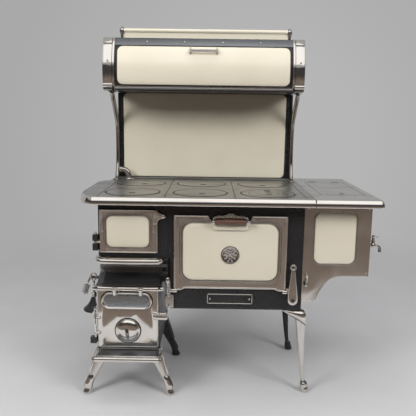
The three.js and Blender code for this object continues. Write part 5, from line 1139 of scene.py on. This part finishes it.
# ---------- back and sides, away from the photo ----------
for x in (-550, -255, 306):
    for z in (500, 660, 820):
        screw(f"back_screw_{x}_{z}", (x + (6 if x < 0 else -6), 300, z), TO_BACK, 5, BLACK_CAST, "stove")
plate("back_heat_shield", rrect(-246, 296, 398, 610, 8, 4), -308, -301, BLACK, "stove", bevel=2.5)
for k in range(7):
    z = 425 + 26 * k
    tube(f"back_shield_rib_{k}", [(-225, 308, z), (275, 308, z)], 3.4, BLACK, "stove", steps=0, seg=12, ball=True)
for y in (-180, 60, 240):
    screw(f"tank_side_screw_{y}", (598.2, y, 845), TO_RIGHT, 5, BLACK_CAST, "stove")
    screw(f"tank_side_low_screw_{y}", (598.2, y, 552), TO_RIGHT, 5, BLACK_CAST, "stove")
collar = [(x, y, 917) for x, y in oval(FLUE_X, FLUE_Y, 88, 35, 64)]
tube("flue_collar_rim", collar, 3.6, GREY_IRON, "stove", steps=0, closed=True, seg=12)
low = [(x, y, 882.5) for x, y in oval(FLUE_X, FLUE_Y, 89, 36, 64)]
tube("flue_collar_base", low, 3.0, GREY_IRON, "stove", steps=0, closed=True, seg=12)


# ---------- camera, floor and light ----------
SENSOR_MM, PHOTO_PX = 36, 416


def camera():
    f, pitch, yaw, roll = 564.11, 0.17134, 0.00387, 0.01385
    fwd = Vector((-math.sin(yaw) * math.cos(pitch), math.cos(yaw) * math.cos(pitch), -math.sin(pitch)))
    r0 = Vector((math.cos(yaw), math.sin(yaw), 0))
    u0 = r0.cross(fwd)
    right = r0 * math.cos(roll) + u0 * math.sin(roll)
    up = -r0 * math.sin(roll) + u0 * math.cos(roll)
    cam = bpy.data.cameras.new("camera")
    cam.sensor_fit = "HORIZONTAL"
    cam.sensor_width = SENSOR_MM
    cam.lens = SENSOR_MM * f / PHOTO_PX
    ob = bpy.data.objects.new("camera", cam)
    at = Vector((-0.08464 + SHIFT_X / 1000, -2.60616 + SHIFT_Y / 1000, 1.22869))
    ob.matrix_world = Matrix(((right.x, up.x, -fwd.x, at.x), (right.y, up.y, -fwd.y, at.y),
        (right.z, up.z, -fwd.z, at.z), (0, 0, 0, 1)))
    bpy.context.collection.objects.link(ob)
    bpy.context.scene.camera = ob


camera()
BACKDROP = (0.398, 0.396, 0.398)
LIT_BACKDROP = (0.466, 0.464, 0.466)
FLOOR_RADIUS, FLOOR_SIDES = 6, 96


def floor():
    verts = [(x, y, 0) for x, y in oval(0, 0, FLOOR_RADIUS, FLOOR_RADIUS, FLOOR_SIDES)]
    mesh = bpy.data.meshes.new("floor")
    mesh.from_pydata(verts, [], [tuple(range(FLOOR_SIDES))])
    m, nt, b = node_material("floor_paper")
    b.inputs["Roughness"].default_value = 0.85
    b.inputs["Specular IOR Level"].default_value = 0.15
    nt.links.new(ramp(nt, noise(nt, 3, 3), [(0.3, (0.575, 0.575, 0.585)), (0.7, (0.605, 0.605, 0.615))]),
        b.inputs["Base Color"])
    co = nt.nodes.new("ShaderNodeTexCoord")
    length = nt.nodes.new("ShaderNodeVectorMath")
    length.operation = "LENGTH"
    nt.links.new(co.outputs["Object"], length.inputs[0])
    fade = nt.nodes.new("ShaderNodeMapRange")
    fade.interpolation_type = "SMOOTHSTEP"
    fade.inputs["From Min"].default_value = 1.3
    fade.inputs["From Max"].default_value = 3.6
    nt.links.new(length.outputs["Value"], fade.inputs["Value"])
    clear = nt.nodes.new("ShaderNodeBsdfTransparent")
    mix = nt.nodes.new("ShaderNodeMixShader")
    nt.links.new(fade.outputs["Result"], mix.inputs["Fac"])
    nt.links.new(b.outputs["BSDF"], mix.inputs[1])
    nt.links.new(clear.outputs["BSDF"], mix.inputs[2])
    nt.links.new(mix.outputs["Shader"], nt.nodes["Material Output"].inputs["Surface"])
    mesh.materials.append(m)
    ob = bpy.data.objects.new("floor", mesh)
    bpy.context.collection.objects.link(ob)


floor()


def world():
    """Plain backdrop, a little lighter behind the object."""
    w = bpy.data.worlds.new("studio")
    bpy.context.scene.world = w
    w.use_nodes = True
    nt = w.node_tree
    bg = nt.nodes["Background"]
    co = nt.nodes.new("ShaderNodeTexCoord")
    away = nt.nodes.new("ShaderNodeVectorMath")
    away.operation = "DISTANCE"
    away.inputs[1].default_value = (0.07, 0.99, -0.06)
    nt.links.new(co.outputs["Generated"], away.inputs[0])
    nt.links.new(ramp(nt, away.outputs["Value"], [(0.0, LIT_BACKDROP), (0.16, LIT_BACKDROP), (0.42, BACKDROP)]),
        bg.inputs["Color"])
    bg.inputs["Strength"].default_value = 1.0


world()


def lamp(name, at, target, size_x, size_y, power, color=(1, 1, 1)):
    la = bpy.data.lights.new(name, "AREA")
    la.shape = "RECTANGLE"
    la.size = size_x
    la.size_y = size_y
    la.energy = power
    la.color = color
    ob = bpy.data.objects.new(name, la)
    ob.location = at
    ob.rotation_euler = (Vector(target) - Vector(at)).to_track_quat("-Z", "Y").to_euler()
    ob.visible_glossy = False
    bpy.context.collection.objects.link(ob)


lamp("left_key", (-2.5, -2.6, 2.6), (0, 0, 0.9), 1.3, 1.1, 71, (1, 0.99, 0.97))
lamp("right_key", (2.5, -2.6, 2.6), (0, 0, 0.9), 1.3, 1.1, 66, (0.98, 0.99, 1))
lamp("overhead", (0, -0.3, 3.7), (0, 0, 0.9), 3.0, 1.6, 36)


def card(name, verts, faces, stops, strength=1.0, axis="Z", rate=0.32):
    """A wall, floor or ceiling of the studio outside the picture: lights and mirrors the object, never seen itself."""
    mesh = bpy.data.meshes.new(name)
    mesh.from_pydata(verts, [], faces)
    m, nt, b = node_material(name)
    nt.nodes.remove(b)
    e = nt.nodes.new("ShaderNodeEmission")
    e.inputs["Strength"].default_value = strength
    co = nt.nodes.new("ShaderNodeTexCoord")
    parts = nt.nodes.new("ShaderNodeSeparateXYZ")
    nt.links.new(co.outputs["Object"], parts.inputs[0])
    add = nt.nodes.new("ShaderNodeMath")
    add.operation = "MULTIPLY_ADD"
    add.inputs[1].default_value = 0.35
    nt.links.new(noise(nt, 0.9, 3), add.inputs[0])
    reach = nt.nodes.new("ShaderNodeMath")
    reach.operation = "MULTIPLY"
    reach.inputs[1].default_value = rate
    nt.links.new(parts.outputs[axis], reach.inputs[0])
    nt.links.new(reach.outputs[0], add.inputs[2])
    nt.links.new(ramp(nt, add.outputs[0], stops), e.inputs["Color"])
    nt.links.new(e.outputs["Emission"], nt.nodes["Material Output"].inputs["Surface"])
    mesh.materials.append(m)
    ob = bpy.data.objects.new(name, mesh)
    bpy.context.collection.objects.link(ob)
    ob.visible_camera = False
    ob.visible_shadow = False


BROWN, DARK = (0.165, 0.130, 0.108), (0.050, 0.048, 0.047)
turn = [math.radians(-90 - 104 + 208 * i / 26) for i in range(27)]
wall = [(4.7 * math.cos(a), 4.7 * math.sin(a), z) for z in (0, 2.75) for a in turn]
card("studio_wall", wall, [(i, i + 1, i + 28, i + 27) for i in range(26)],
    [(0.12, (0.26, 0.22, 0.185)), (0.36, BROWN), (0.56, DARK), (0.95, DARK)])
card("studio_floor", [(-4.2, -1.22, 0.004), (4.2, -1.22, 0.004), (3.0, -3.6, 0.004), (0, -4.7, 0.004),
    (-3.0, -3.6, 0.004)], [(0, 4, 3, 2, 1)], [(0.45, (0.225, 0.185, 0.158)), (0.72, (0.195, 0.158, 0.134)),
    (0.88, (0.215, 0.176, 0.15)), (1.0, (0.08, 0.065, 0.056))], axis="Y", rate=-0.2)
card("studio_ceiling", [(-2.8, -3.35, 2.78), (2.8, -3.35, 2.78), (2.7, -1.25, 3.95), (-2.7, -1.25, 3.95)],
    [(0, 1, 2, 3)], [(0.5, (1, 0.99, 0.975)), (1.0, (1, 0.995, 0.985))], 1.15)

scene = bpy.context.scene
scene.view_settings.view_transform = "Standard"
